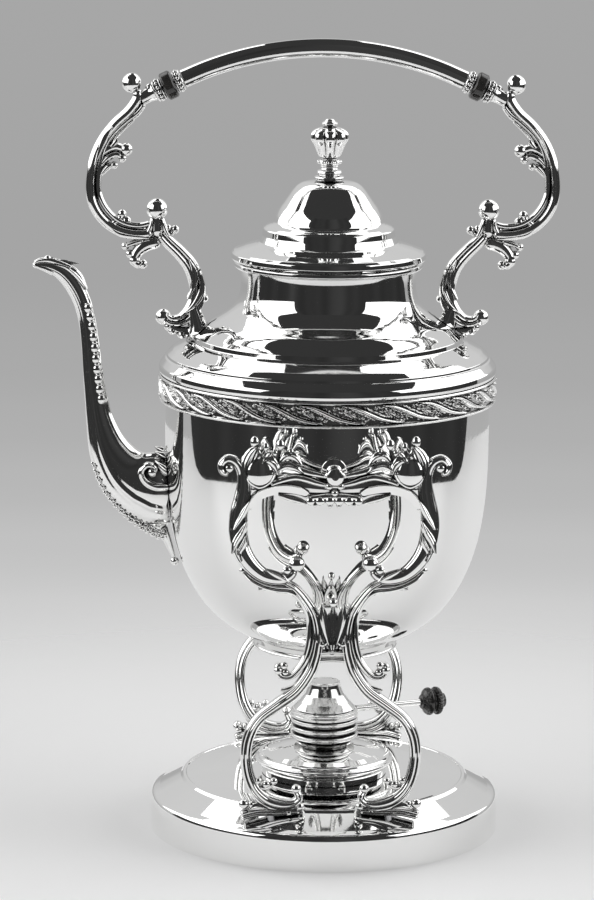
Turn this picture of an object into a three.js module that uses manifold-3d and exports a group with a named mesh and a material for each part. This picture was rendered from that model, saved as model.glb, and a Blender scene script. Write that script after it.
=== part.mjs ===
// Tea kettle on a lamp stand, silver plated, in millimetres with +Z up.
// The origin is on the table, in the middle of the round base.
// The spout points along minus X and the two stand brackets are at minus Y and plus Y.
import * as THREE from 'three';
import { mergeVertices } from 'three/addons/utils/BufferGeometryUtils.js';
import Module from 'manifold-3d';

const wasm = await Module();
wasm.setup();

// Gap between pieces that touch on the real object, and wall of the spun sheet
const clearance = 0.3;
const sheet = 1.2;

// Base: a spun disc, open underneath, with a raised plateau
const baseRadius = 76.2;
const baseWallHeight = 13;
const baseEdgeRound = 3.2;
const baseSlopeWidth = 14.9;
const plateauHeight = 23.5;
const plateauStep = 0.8;
const baseSheet = 1.6;

// Tilt axis, and how far the kettle's foot hangs below it
const pivotHeight = 172.5;
const kettleHang = 91.5;

// Stand brackets, their feet's screws and the kettle's trunnions
const bracketPastSeam = 0.7;
const bracketFromBowl = 9;
const bracketDepth = 5;
const bracketBar = 4.6;
const bracketArm = 6.8;
const bracketFootHalf = 12.3;
const palmetteDrop = 71;
const palmetteHalf = 5.4;
const palmetteRise = 18.4;
const screwSpread = 25;
const screwRadius = 1.4;
const screwHeadOverhang = 1.4;
const screwHeadHeight = 1.6;
const screwGrip = 4.5;
const trunnionRadius = 2.6;
const trunnionHeadOverhang = 1;
const trunnionHeadLength = 2;
const bossOverhang = 2.9;
const bossLength = 1.6;

// Kettle bowl with its foot ring and ornament band
const footOverhang = 3;
const footHeight = 3.8;
const footWall = 2;
const bowlFlatRadius = 28.5;
const bowlRadius = 70;
const bowlDepth = 94.5;
const bowlFullness = 2.75;
const bowlStraight = 20;
const bandStandOut = 3.2;
const bandHeight = 11.2;
const bandBelowSeam = 5.6;
const beadSize = 2;

// Shoulder and neck
const rollStandOut = 2.8;
const rollHeight = 7.2;
const domeInset = 0.4;
const domeWidth = 11.8;
const domeRise = 7;
const ledgeRise = 3.2;
const flareRise = 8.8;
const flareFoot = 6.3;
const neckWaist = 0.7;
const neckRise = 12.7;
const mouthRadius = 38.4;
const mouthRise = 9.8;
const rimStandOut = 2.4;
const rimHeight = 3.2;

// Lid with its bezel, finial and nut
const lidOverhang = 1.2;
const lidRimHeight = 4;
const lidSlopeRise = 3;
const lidSlopeWidth = 13.6;
const lidStepRise = 7.2;
const lidLedgeRise = 1.9;
const lidLedgeWidth = 4.8;
const lidBellWidth = 13;
const lidBellRise = 17.6;
const bezelDepth = 8;
const bezelWall = 1;
const studRadius = 1.5;
const nutWall = 2.5;
const nutHeight = 3;
const finialRadius = 8.2;
const finialBaseRadius = 6.3;
const finialNeckRadius = 3.2;
const finialTopRadius = 3.4;
const finialHeight = 26.3;

// Spout
const spoutHoleRadius = 10;
const spoutHoleRise = 66;
const spoutWall = 1.1;

// Handle: arched grip, insulated from two scroll brackets
const handleOffset = -2.5;
const gripEndInset = 10;
const gripArch = 13.4;
const gripRadius = 4;
const gripAboveMouth = 95.1;
const collarStandOut = 0.9;
const collarLength = 4;
const insulatorStandOut = 2.4;
const insulatorLength = 4.8;
const handlePinRadius = 1.5;
const handleScroll = 6.4;

// Lamp with its seat ring on the base
const lampFootRadius = 25;
const lampFootHeight = 4.7;
const lampFlangeOverhang = 5.3;
const lampFlangeHeight = 3.9;
const lampDomeRise = 5.4;
const lampNeckRadius = 9.5;
const lampNeckRise = 4.6;
const seatRingWall = 2;
const seatRingHeight = 2.8;

// Burner, wick tube and wick
const burnerWall = 5.2;
const burnerFin = 2.5;
const burnerPitch = 3.4;
const burnerFins = 3;
const burnerGroove = 2;
const wickRadius = 2.9;
const wickTubeWall = 0.9;
const wickTubeRise = 3;
const wickRise = 4;
const wickLength = 30;

// Cone cap with its lever and knob
const coneHeight = 15.4;
const coneSkirt = 2.8;
const coneSlopeWidth = 8.3;
const coneWall = 1;
const leverAngle = 20;
const leverRadius = 1.35;
const leverReach = 46.4;
const knobRadius = 6.3;
const knobLength = 11.4;
const knobSocket = 6;

// Facets round the turned pieces, from the widest to the smallest
const facetsWide = 32;
const facetsMiddle = 24;
const facetsSmall = 12;
const facetsPin = 8;

// Radii and distances that follow from the sizes above
const plateauRadius = baseRadius - baseSlopeWidth;
const bracketFootDistance = plateauRadius + bracketPastSeam;
const bracketTopDistance = bowlRadius + bracketFromBowl;
const screwHeadRadius = screwRadius + screwHeadOverhang;
const trunnionHeadRadius = trunnionRadius + trunnionHeadOverhang;
const bossRadius = trunnionRadius + bossOverhang;
const footRadius = bowlFlatRadius + footOverhang;
const bandRadius = bowlRadius + bandStandOut;
const rollRadius = bowlRadius + rollStandOut;
const domeRadius = bowlRadius - domeInset;
const ledgeRadius = domeRadius - domeWidth;
const neckRadius = mouthRadius - neckWaist;
const flareRadius = neckRadius + flareFoot;
const rimRadius = mouthRadius + rimStandOut;
const lidRadius = rimRadius + lidOverhang;
const lidStepRadius = lidRadius - lidSlopeWidth;
const lidBellRadius = lidStepRadius - lidLedgeWidth;
const nutRadius = studRadius + nutWall;
const gripHalfSpan = bowlRadius - gripEndInset;
const collarRadius = gripRadius + collarStandOut;
const insulatorRadius = gripRadius + insulatorStandOut;
const lampFlangeRadius = lampFootRadius + lampFlangeOverhang;
const burnerRadius = lampNeckRadius + burnerWall;
const coneTopRadius = burnerRadius - coneSlopeWidth;

// Materials

const silver = new THREE.MeshStandardMaterial({ color: 0xd9d9da, roughness: 0.12, metalness: 1 });
const castSilver = new THREE.MeshStandardMaterial({ color: 0xd2d2d4, roughness: 0.18, metalness: 1 });
const burnerSilver = new THREE.MeshStandardMaterial({ color: 0xbfbfc1, roughness: 0.3, metalness: 1 });
const blackInsulator = new THREE.MeshStandardMaterial({ color: 0x161616, roughness: 0.35, metalness: 0 });
const steel = new THREE.MeshStandardMaterial({ color: 0x9a9a9c, roughness: 0.4, metalness: 1 });
const cotton = new THREE.MeshStandardMaterial({ color: 0xe6dfcc, roughness: 0.95, metalness: 0 });

// Joining and cutting

// A closed geometry as a solid, with its faces turned outwards
function solid(geometry) {
  const bare = new THREE.BufferGeometry();
  const loose = geometry.index ? geometry.toNonIndexed() : geometry;
  bare.setAttribute('position', loose.getAttribute('position'));
  const merged = mergeVertices(bare, 1e-4);
  const vertProperties = merged.getAttribute('position').array;
  const corners = merged.index.array;
  const faces = [];
  const [a, b, c] = [new THREE.Vector3(), new THREE.Vector3(), new THREE.Vector3()];
  let volume = 0;
  for (let i = 0; i < corners.length; i += 3) {
    const [p, q, r] = corners.slice(i, i + 3);
    if (p === q || q === r || r === p) continue;
    faces.push(p, q, r);
    a.fromArray(vertProperties, 3 * p);
    b.fromArray(vertProperties, 3 * q);
    c.fromArray(vertProperties, 3 * r);
    volume += a.dot(b.cross(c));
  }
  if (volume < 0) faces.reverse();
  return new wasm.Manifold(new wasm.Mesh({ numProp: 3, vertProperties, triVerts: new Uint32Array(faces) }));
}

function geometryOf(body) {
  const mesh = body.getMesh();
  const geometry = new THREE.BufferGeometry();
  geometry.setAttribute('position', new THREE.BufferAttribute(mesh.vertProperties, 3));
  geometry.setIndex(new THREE.BufferAttribute(mesh.triVerts, 1));
  return geometry;
}

function join(geometries) {
  return geometryOf(geometries.map(solid).reduce((sum, body) => sum.add(body)));
}

function cut(geometry, tools) {
  return geometryOf(tools.map(solid).reduce((rest, tool) => rest.subtract(tool), solid(geometry)));
}

// Shapes

// A turned body round Z. The outline of [radius, height] points closes on itself.
function turned(outline, facets) {
  const points = [...outline, outline[0]].map(([r, z]) => new THREE.Vector2(r, z));
  return new THREE.LatheGeometry(points, facets).rotateX(Math.PI / 2);
}

function cylinder(radius, low, high, facets) {
  return turned([[0, low], [radius, low], [radius, high], [0, high]], facets);
}

// Turns a body that stands along Z so that its top points along minus Y
function facingFront(geometry) {
  return geometry.rotateX(Math.PI / 2);
}

// Moves an outline to its left by a wall, which is inwards when the outline runs up or towards the axis
function inset(outline, wall) {
  return outline.map(([r, z], i) => {
    const [r0, z0] = outline[Math.max(i - 1, 0)];
    const [r1, z1] = outline[Math.min(i + 1, outline.length - 1)];
    const length = Math.hypot(r1 - r0, z1 - z0);
    return [r - wall * (z1 - z0) / length, z + wall * (r1 - r0) / length];
  });
}

// Sections of a bar as shares [across, along Y] of its half width and half depth
function regularSection(sides) {
  return Array.from({ length: sides }, (_, i) => {
    const turn = (2 * i + 1) * Math.PI / sides;
    return [Math.sin(turn), Math.cos(turn)];
  });
}

const round = regularSection(8);
const sixSided = regularSection(6);
const flatBacked = [[-0.5, -1], [0.5, -1], [1, 0.2], [1, 1], [-1, 1], [-1, 0.2]];

// A bar along a smooth curve in the XZ plane. Points are [x, z, width, depth], depth being along Y.
function swept(points, depth, section) {
  const curve = new THREE.CatmullRomCurve3(points.map(([x, z]) => new THREE.Vector3(x, 0, z)));
  const size = new THREE.CatmullRomCurve3(
    points.map(([, , width, own]) => new THREE.Vector3(width / 2, (own ?? depth) / 2, 0)));
  const outline = new THREE.Shape(section.map(([across, deep]) => new THREE.Vector2(across, deep)));
  const bar = new THREE.ExtrudeGeometry(
    outline, { depth: 1, steps: points.length - 1, bevelEnabled: false });
  const position = bar.getAttribute('position');
  for (let i = 0; i < position.count; i += 1) {
    const along = position.getZ(i);
    const centre = curve.getPoint(along);
    const tangent = curve.getTangent(along);
    const half = size.getPoint(along);
    const across = position.getX(i) * half.x;
    position.setXYZ(
      i, centre.x + tangent.z * across, position.getY(i) * half.y, centre.z - tangent.x * across);
  }
  return bar;
}

// A plate in the XZ plane, centred on Y, with an optional window
function plate(outline, depth, window) {
  const shape = new THREE.Shape(outline.map(([x, z]) => new THREE.Vector2(x, z)));
  if (window) shape.holes.push(new THREE.Path(window.map(([x, z]) => new THREE.Vector2(x, z))));
  const geometry = new THREE.ExtrudeGeometry(shape, { depth, bevelEnabled: false });
  return geometry.translate(0, 0, -depth / 2).rotateX(Math.PI / 2);
}

function mirrored(geometry) {
  return geometry.clone().scale(-1, 1, 1);
}

// Groups: each is placed in the one above it

const kettleAndStand = new THREE.Group();

function addGroup(parent, z = 0, x = 0) {
  const group = new THREE.Group();
  group.position.set(x, 0, z);
  parent.add(group);
  return group;
}

function addPart(parent, name, geometry, material) {
  geometry.computeVertexNormals();
  const mesh = new THREE.Mesh(geometry, material);
  mesh.name = name;
  parent.add(mesh);
  return mesh;
}

// Base disc and its screws

const baseTop = baseWallHeight + baseEdgeRound;

// Outer face of the base from the table to the middle of the plateau
function baseOutline() {
  const edge = [0, 1, 2, 3].map((i) => {
    const turn = i / 3 * Math.PI / 2;
    return [
      baseRadius - baseEdgeRound * (1 - Math.cos(turn)),
      baseWallHeight + baseEdgeRound * Math.sin(turn)];
  });
  return [
    [baseRadius, 0],
    ...edge,
    [plateauRadius + plateauStep, plateauHeight - plateauStep],
    [plateauRadius, plateauHeight],
    [0, plateauHeight],
  ];
}

// Height of the slope between the rounded edge and the plateau
function slopeHeight(radius) {
  const low = baseRadius - baseEdgeRound;
  const high = plateauRadius + plateauStep;
  return baseTop + (plateauHeight - plateauStep - baseTop) * (low - radius) / (low - high);
}

const screwPlaces = [
  ['front_left', -1, -1], ['front_right', 1, -1], ['rear_left', -1, 1], ['rear_right', 1, 1],
].map(([corner, x, y]) => ({ corner, x: x * screwSpread, y: y * bracketFootDistance }));
const screwDistance = Math.hypot(screwSpread, bracketFootDistance);
const screwHeadTop = slopeHeight(screwDistance + screwHeadRadius) - 1.25 * baseSheet - clearance;
const screwTop = slopeHeight(screwDistance) + screwGrip;

function screwHoles(top) {
  return screwPlaces.map(
    ({ x, y }) => cylinder(screwRadius + clearance, 0, top, facetsPin).translate(x, y, 0));
}

function addBase(stand) {
  const outer = baseOutline();
  const disc = turned([...outer, ...inset(outer, baseSheet).reverse()], facetsWide);
  addPart(stand, 'base_disc', cut(disc, screwHoles(2 * plateauHeight)), silver);
}

function addScrews(stand) {
  const screw = turned([
    [0, screwHeadTop - screwHeadHeight],
    [screwHeadRadius, screwHeadTop - screwHeadHeight],
    [screwHeadRadius, screwHeadTop],
    [screwRadius, screwHeadTop],
    [screwRadius, screwTop],
    [0, screwTop],
  ], facetsPin);
  for (const { corner, x, y } of screwPlaces) {
    addPart(stand, `${corner}_screw`, screw, steel).position.set(x, y, 0);
  }
}

// Stand brackets, drawn flat and then leant outwards.
// Points are [x, height, share of the bar's width]; the loop is measured from the plateau
// and the lyre above it from the tilt axis.

const bracketLoop = [
  [15.4, 10.6, 0.4], [14.9, 8, 1.1], [15, 4, 0.8], [17, 0.6, 0.9], [22.6, -0.6], [31.4, 4.6],
  [36, 14], [36.8, 22], [35, 33], [29, 42.6], [20.4, 51], [13.2, 58], [9, 66], [6.6, 76], [5, 84],
  [4.4, 92],
];
const bracketCurl = [
  [6.4, 82, 0.7], [8.6, 73, 0.9], [12.2, 66.6, 0.9], [17, 63.2, 0.8], [21.4, 64.4, 1.3], [23, 67.4, 0.6],
];
const lyreBranch = [
  [4.4, -72], [7.4, -64], [11.5, -56.8], [17, -50.8], [24, -48.2, 0.9], [30.6, -47.4, 1.1],
  [34.6, -45.2, 0.7], [37.6, -42.6, 0.3],
];
const lyreArm = [
  [15.6, -37.4, 0.3], [14.8, -40, 0.8], [17.4, -43, 0.65], [21.4, -44.4, 0.75], [27, -43.2, 0.8],
  [32.6, -39.4, 0.95], [37, -34], [39.6, -27], [40, -20], [38.2, -12, 0.9], [36.8, -4, 0.75],
  [38.4, 2.6, 0.7], [43.4, 5, 1.2], [47, 2.6, 0.6],
];

// Flowers over the arms, with the saddle bar between them
const lyreCrown = [
  [-1, -11], [8, -10.2], [15, -8.2], [22.6, -7.6], [30, -9], [37, -7], [39.5, 2], [40, 8], [38.4, 14.6],
  [33.4, 17.4], [29.6, 13.8], [25, 14.6], [20.4, 11.6], [15.6, 5.6], [9, 1.4], [3.6, -1.2], [-1, -1.4],
];
const crownWindow = [[11, -3.6], [18, 0], [26, 0.4], [31.6, -2.6], [25, -4.4], [16, -4.8]];

function castBar(points, height, width) {
  const placed = points.map(([x, z, share = 1]) => [x, z + height, width * share]);
  return swept(placed, bracketDepth, flatBacked);
}

function raised(points, height) {
  return points.map(([x, z]) => [x, z + height]);
}

// The block under one side of the loop, which the base trims from below
function bracketFoot() {
  const low = -plateauHeight / 2;
  const outer = screwSpread + bracketFootHalf;
  const inner = screwSpread - bracketFootHalf;
  const quarter = bracketFootHalf / 2;
  const outline = [
    [outer, low], [outer, 3], [screwSpread + quarter, 1.8], [screwSpread - quarter, -0.6],
    [inner, 1.8], [inner, low],
  ];
  return plate(raised(outline, plateauHeight), bracketDepth);
}

// Palmette at the waist, where both sides of the loop and of the lyre meet
function palmette() {
  const edge = [[0.8, -0.33], [1, 0], [0.7, 0.33], [0.37, 0.54], [0.44, 0.82]].map(
    ([across, rise]) => [across * palmetteHalf, rise * palmetteRise]);
  const otherEdge = edge.map(([x, z]) => [-x, z]).reverse();
  const outline = [[0, -palmetteRise / 2], ...edge, [0, palmetteRise], ...otherEdge];
  return plate(raised(outline, pivotHeight - palmetteDrop), bracketDepth + 1);
}

function frontBracket() {
  const half = join([
    castBar(bracketLoop, plateauHeight, bracketBar),
    castBar(bracketCurl, plateauHeight, bracketBar),
    castBar(lyreBranch, pivotHeight, bracketBar),
    castBar(lyreArm, pivotHeight, bracketArm),
    plate(raised(lyreCrown, pivotHeight), bracketDepth, raised(crownWindow, pivotHeight)),
    bracketFoot(),
  ]);
  const flat = join([half, mirrored(half), palmette()]);
  const lean = (bracketTopDistance - bracketFootDistance) / (pivotHeight - plateauHeight);
  const away = bracketFootDistance - lean * plateauHeight;
  flat.applyMatrix4(new THREE.Matrix4().set(1, 0, 0, 0, 0, 1, -lean, -away, 0, 0, 1, 0, 0, 0, 0, 1));
  const base = baseOutline().map(([r, z]) => [r, z + clearance]);
  const saddle = facingFront(cylinder(trunnionRadius + clearance, 0, 2 * bracketTopDistance, facetsPin));
  return cut(flat, [
    turned([[0, clearance], ...base], facetsWide),
    ...screwHoles(screwTop + clearance),
    saddle.translate(0, 0, pivotHeight),
  ]);
}

function addBrackets(stand) {
  const bracket = frontBracket();
  addPart(stand, 'front_bracket', bracket, castSilver);
  addPart(stand, 'rear_bracket', bracket, castSilver).rotation.z = Math.PI;
}

// Kettle bowl. Heights of the kettle are above its foot.

const bowlFlatShare = (1 - (bowlFlatRadius / bowlRadius) ** bowlFullness) ** (1 / bowlFullness);
const bowlWidest = footHeight + bowlDepth * bowlFlatShare;
const bowlSeam = bowlWidest + bowlStraight;

// Outer face of the bowl, a quarter of a full-bodied oval and then a straight wall
function bowlOutline(lift = 0) {
  const points = [[0, footHeight - lift]];
  const start = Math.asin((bowlFlatRadius / bowlRadius) ** (bowlFullness / 2));
  const segments = 9;
  for (let i = 0; i <= segments; i += 1) {
    const turn = start + (Math.PI / 2 - start) * i / segments;
    points.push([
      (bowlRadius + lift) * Math.sin(turn) ** (2 / bowlFullness),
      bowlWidest - (bowlDepth + lift) * Math.cos(turn) ** (2 / bowlFullness)]);
  }
  return [...points, [bowlRadius + lift, bowlSeam]];
}

// Everything inside the bowl's outer face and its clearance
function bowlBlock() {
  return turned([...bowlOutline(clearance), [0, bowlSeam]], facetsWide);
}

function addBowl(kettle) {
  const outer = bowlOutline();
  const skipped = [3, 5, 7, 9];
  const inner = inset(outer, sheet).filter((point, i) => !skipped.includes(i));
  const shell = turned([...outer, ...inner.reverse()], facetsWide);
  const hole = cylinder(spoutHoleRadius, 0, bowlRadius + sheet, facetsSmall);
  hole.rotateY(-Math.PI / 2).translate(0, 0, spoutHoleRise);
  addPart(kettle, 'kettle_bowl', cut(shell, [hole]), silver);
}

function addFootRing(kettle) {
  const top = footHeight - clearance;
  addPart(kettle, 'foot_ring', turned([
    [footRadius - footWall, 0], [footRadius, 0], [footRadius, 1.1],
    [footRadius - 1.4, 2], [bowlFlatRadius, top], [bowlFlatRadius - footWall, top],
  ], facetsMiddle), silver);
}

// The band lies round the seam of bowl and shoulder, with a beaded edge above and below
const bandBottom = bowlSeam - bandBelowSeam;
const bandTop = bandBottom + bandHeight;

function addBand(kettle) {
  const inside = bowlRadius + clearance;
  addPart(kettle, 'ornament_band', turned([
    [inside, bandBottom], [bandRadius - beadSize / 2, bandBottom], [bandRadius, bandBottom + beadSize / 2],
    [bandRadius - beadSize / 2, bandBottom + beadSize], [bandRadius, (bandBottom + bandTop) / 2],
    [bandRadius - beadSize / 2, bandTop - beadSize], [bandRadius, bandTop - beadSize / 2],
    [bandRadius - beadSize / 2, bandTop], [inside, bandTop],
  ], facetsWide), castSilver);
}

// Shoulder and neck, from the seam up to the mouth

const rollBottom = bandTop + clearance;
const domeBottom = rollBottom + rollHeight;
const ledgeBottom = domeBottom + domeRise;
const flareBottom = ledgeBottom + ledgeRise;
const neckBottom = flareBottom + flareRise;
const neckNarrow = neckBottom + neckRise;
const mouth = neckNarrow + mouthRise;

function shoulderOutline() {
  const sealedWall = [[bowlRadius, bowlSeam + clearance], [bowlRadius, rollBottom]];
  const roll = [
    [rollRadius, rollBottom + 0.3], [rollRadius - 0.3, rollBottom + 0.45 * rollHeight],
    [domeRadius, domeBottom],
  ];
  const dome = [
    [(domeRadius + ledgeRadius) / 2, domeBottom + 0.6 * domeRise], [ledgeRadius, ledgeBottom],
    [ledgeRadius - 2, flareBottom],
  ];
  const flareWidth = ledgeRadius - 2 - flareRadius;
  const flare = [
    [flareRadius + 0.65 * flareWidth, flareBottom + 0.45 * flareRise],
    [flareRadius + 0.25 * flareWidth, flareBottom + 0.72 * flareRise], [flareRadius, neckBottom],
  ];
  const neck = [
    [neckRadius + 0.5 * flareFoot, neckBottom + 0.18 * neckRise],
    [neckRadius + 0.14 * flareFoot, neckBottom + 0.42 * neckRise], [neckRadius, neckNarrow],
    [neckRadius + 0.3, neckNarrow + 0.4 * mouthRise], [mouthRadius - 0.6, mouth - 0.24 * mouthRise],
    [mouthRadius, mouth],
  ];
  return [...sealedWall, ...roll, ...dome, ...flare, ...neck];
}

function addShoulder(kettle) {
  const outer = shoulderOutline();
  const inner = inset(outer, sheet);
  inner[1] = [bowlRadius - sheet, rollBottom + sheet];
  inner[inner.length - 1] = [mouthRadius - sheet, mouth];
  const skipped = [2, 3, 5, 9];
  const kept = inner.filter((point, i) => !skipped.includes(i));
  addPart(kettle, 'kettle_shoulder', turned([...outer, ...kept.reverse()], facetsWide), silver);
}

// Everything inside the shoulder's outer face and its clearance
function shoulderBlock() {
  const outline = inset(shoulderOutline(), -clearance);
  return turned([[0, bowlSeam], ...outline, [0, mouth]], facetsWide);
}

function addNeckRim(kettle) {
  const inside = mouthRadius + clearance;
  const low = mouth - rimHeight;
  addPart(kettle, 'neck_rim', turned([
    [inside, low], [rimRadius - 0.8, low], [rimRadius, low + 0.9], [rimRadius, mouth - 0.8],
    [rimRadius - 0.7, mouth], [inside, mouth],
  ], facetsWide), silver);
}

// Spout: its points are [distance from the bowl's wall, height, height of its section]

const spoutPath = [
  [-10, 66, 43], [1, 69, 37], [9.6, 72.4, 29.5], [18.6, 79, 22], [25.2, 90.4, 15.4],
  [28.8, 103.8, 11.4], [30.9, 119, 9.2], [32, 132, 7.8], [33.6, 142.8, 7.2], [36.4, 151.6, 7.4],
  [40.4, 159.2, 8.2], [45.4, 164.6, 8], [51.5, 167.4, 5.4], [57.6, 168.6, 3.4],
];
const spoutBoreEnd = 1.6;

// The spout is a tall oval where it leaves the bowl and nearly round further on
function spoutDepth(height) {
  return 0.62 * height + Math.max(0, 9 - height) * 0.35 + 0.9;
}

function spout() {
  const outside = spoutPath.map(
    ([away, z, height]) => [-bowlRadius - away, z, height, spoutDepth(height)]);
  const bore = outside.map(([x, z, height, depth]) => [
    x, z, Math.max(height - 2 * spoutWall, spoutBoreEnd), Math.max(depth - 2 * spoutWall, spoutBoreEnd)]);
  bore[bore.length - 1][0] -= 1;
  bore[0][0] += 1;
  return cut(swept(outside, 0, round), [swept(bore, 0, sixSided), bowlBlock()]);
}

// Trunnions, which rest in the saddles of the stand brackets

function frontTrunnion() {
  const face = bowlRadius + clearance;
  const headStart = bracketTopDistance + bracketDepth / 2 + 1;
  const headEnd = headStart + trunnionHeadLength;
  const pin = facingFront(turned([
    [0, face - bossLength], [bossRadius, face - bossLength], [bossRadius, face + bossLength],
    [trunnionRadius, face + bossLength], [trunnionRadius, headStart],
    [trunnionHeadRadius, headStart], [trunnionHeadRadius, headEnd], [0, headEnd],
  ], facetsPin));
  return cut(pin.translate(0, 0, kettleHang), [bowlBlock()]);
}

function addTrunnions(kettle) {
  const trunnion = frontTrunnion();
  addPart(kettle, 'front_trunnion', trunnion, castSilver);
  addPart(kettle, 'rear_trunnion', trunnion, castSilver).rotation.z = Math.PI;
}

// Handle. Its heights are above the middle line of the grip's top, and it is the same left and right.

const gripPeak = mouth + gripAboveMouth - gripRadius;
const gripArcRadius = (gripHalfSpan ** 2 + gripArch ** 2) / (2 * gripArch);
const gripEndTurn = Math.asin(gripHalfSpan / gripArcRadius);

const insulatorStart = collarLength + clearance;
const insulatorEnd = insulatorStart + insulatorLength;
const bracketCollarStart = insulatorEnd + clearance;
const bracketCollarEnd = bracketCollarStart + collarLength;
const handlePinInset = 1;

function addGrip(handle) {
  const segments = 10;
  const points = Array.from({ length: segments + 1 }, (_, i) => {
    const turn = (2 * i / segments - 1) * gripEndTurn;
    return [gripArcRadius * Math.sin(turn), gripArcRadius * (Math.cos(turn) - 1), 2 * gripRadius];
  });
  addPart(handle, 'handle_grip', join([swept(points, 2 * gripRadius, round)]), silver);
}

function beadedCollar(low, high) {
  const bore = handlePinRadius + clearance;
  return turned([
    [bore, low], [gripRadius, low], [collarRadius, low + 0.8], [collarRadius - 0.7, (low + high) / 2],
    [collarRadius, high - 0.8], [gripRadius, high], [bore, high],
  ], facetsSmall);
}

// Collar, insulator and collar on their pin, which run outwards from the grip's end along its tangent
function addHandleStack(side, name) {
  const stack = new THREE.Group();
  stack.position.set(gripHalfSpan, 0, -gripArch);
  stack.rotation.y = Math.PI / 2 + gripEndTurn;
  side.add(stack);
  addPart(stack, `${name}_grip_collar`, beadedCollar(clearance, collarLength), castSilver);
  const bore = handlePinRadius + clearance;
  addPart(stack, `${name}_insulator`, turned([
    [bore, insulatorStart], [insulatorRadius - 0.5, insulatorStart],
    [insulatorRadius, insulatorStart + 0.6], [insulatorRadius, insulatorEnd - 0.6],
    [insulatorRadius - 0.5, insulatorEnd], [bore, insulatorEnd],
  ], facetsSmall), blackInsulator);
  addPart(stack, `${name}_bracket_collar`, beadedCollar(bracketCollarStart, bracketCollarEnd), castSilver);
  addPart(stack, `${name}_handle_pin`, cylinder(
    handlePinRadius, handlePinInset, bracketCollarEnd - handlePinInset, facetsPin), steel);
}

// Scrolls of a handle bracket as [distance from the grip's end, height, share of the bar's width]
const upperScroll = [
  [18.4, -19.6, 0.8], [22.6, -25.6, 0.85], [28.2, -31.4, 0.95], [33.3, -38.2], [36.9, -45],
  [38.5, -52], [38.8, -59], [37.7, -66], [34.4, -72, 0.95], [29.6, -76.8, 0.9], [23.6, -79.4, 0.85],
  [17.6, -79.4, 0.85], [12.6, -76.8, 0.8], [10.4, -72.4, 0.7], [10.9, -68.2, 1.15], [12, -65.2, 0.5],
];
const lowerScroll = [
  [10.9, -71, 0.7], [10.3, -77, 0.85], [7.4, -81.8], [2.8, -86.8], [-2.1, -91.8], [-5.8, -98],
  [-7.2, -105], [-6, -111.6, 0.95], [-2.1, -116.6, 0.9], [3.2, -118.6, 0.75], [8.4, -117, 1],
  [11, -113.6, 0.7],
];
const topCurl = [[19, -22, 0.7], [17.8, -18, 0.8], [19.6, -14.6, 1.05], [23.4, -13, 0.6]];
const innerLeaf = [[36.8, -50, 0.6], [33.6, -44, 0.8], [29.4, -41.4, 0.8], [25.4, -45.4, 0.5]];
const lowerLeaf = [[12, -79, 0.7], [16.4, -83, 0.8], [19.6, -88, 0.7], [20.8, -93, 0.6]];
const handleFoot = [[-4.8, -110, 5], [-4.2, -117, 7.4], [-3.4, -128, 9.5]];

function handleBar(points, depth) {
  const placed = points.map(([x, z, share = 1]) => [gripHalfSpan + x, z, handleScroll * share]);
  return swept(placed, depth, sixSided);
}

// A handle bracket, trimmed to the shoulder, whose axis is off the middle of the handle
function handleBracket(shoulderAxis) {
  const start = bracketCollarEnd + clearance;
  const root = [start, start + handleScroll].map((distance) => [
    gripHalfSpan + distance * Math.cos(gripEndTurn),
    -gripArch - distance * Math.sin(gripEndTurn),
    1.1 * handleScroll, 1.1 * handleScroll]);
  const pieces = [
    handleBar(upperScroll, handleScroll),
    handleBar(lowerScroll, handleScroll),
    handleBar(topCurl, handleScroll),
    handleBar(innerLeaf, handleScroll * 0.6),
    handleBar(lowerLeaf, handleScroll * 0.6),
    swept(root, 0, round),
    swept(handleFoot.map(([x, z, width]) => [gripHalfSpan + x, z, width]), handleScroll + 2, round),
  ];
  return cut(join(pieces), [shoulderBlock().translate(shoulderAxis, 0, -gripPeak)]);
}

function addHandle(kettle) {
  const handle = addGroup(kettle, gripPeak, handleOffset);
  addGrip(handle);
  const left = addGroup(handle);
  left.rotation.z = Math.PI;
  addPart(left, 'left_handle_bracket', handleBracket(handleOffset), castSilver);
  addHandleStack(left, 'left');
  const right = addGroup(handle);
  addPart(right, 'right_handle_bracket', handleBracket(-handleOffset), castSilver);
  addHandleStack(right, 'right');
}

// Lid. Its heights are above the underside of its rim.

const lidSlopeTop = lidRimHeight + lidSlopeRise;
const lidStepTop = lidSlopeTop + lidStepRise;
const lidLedge = lidStepTop + lidLedgeRise;
const lidTop = lidLedge + lidBellRise;
const lidSlopeFoot = lidSlopeTop - 1.4;
const studHole = studRadius + clearance;

// A point on the bell, from shares of its width and of its rise
function onBell(width, rise) {
  return [lidBellRadius - width * lidBellWidth, lidLedge + rise * lidBellRise];
}

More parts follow.
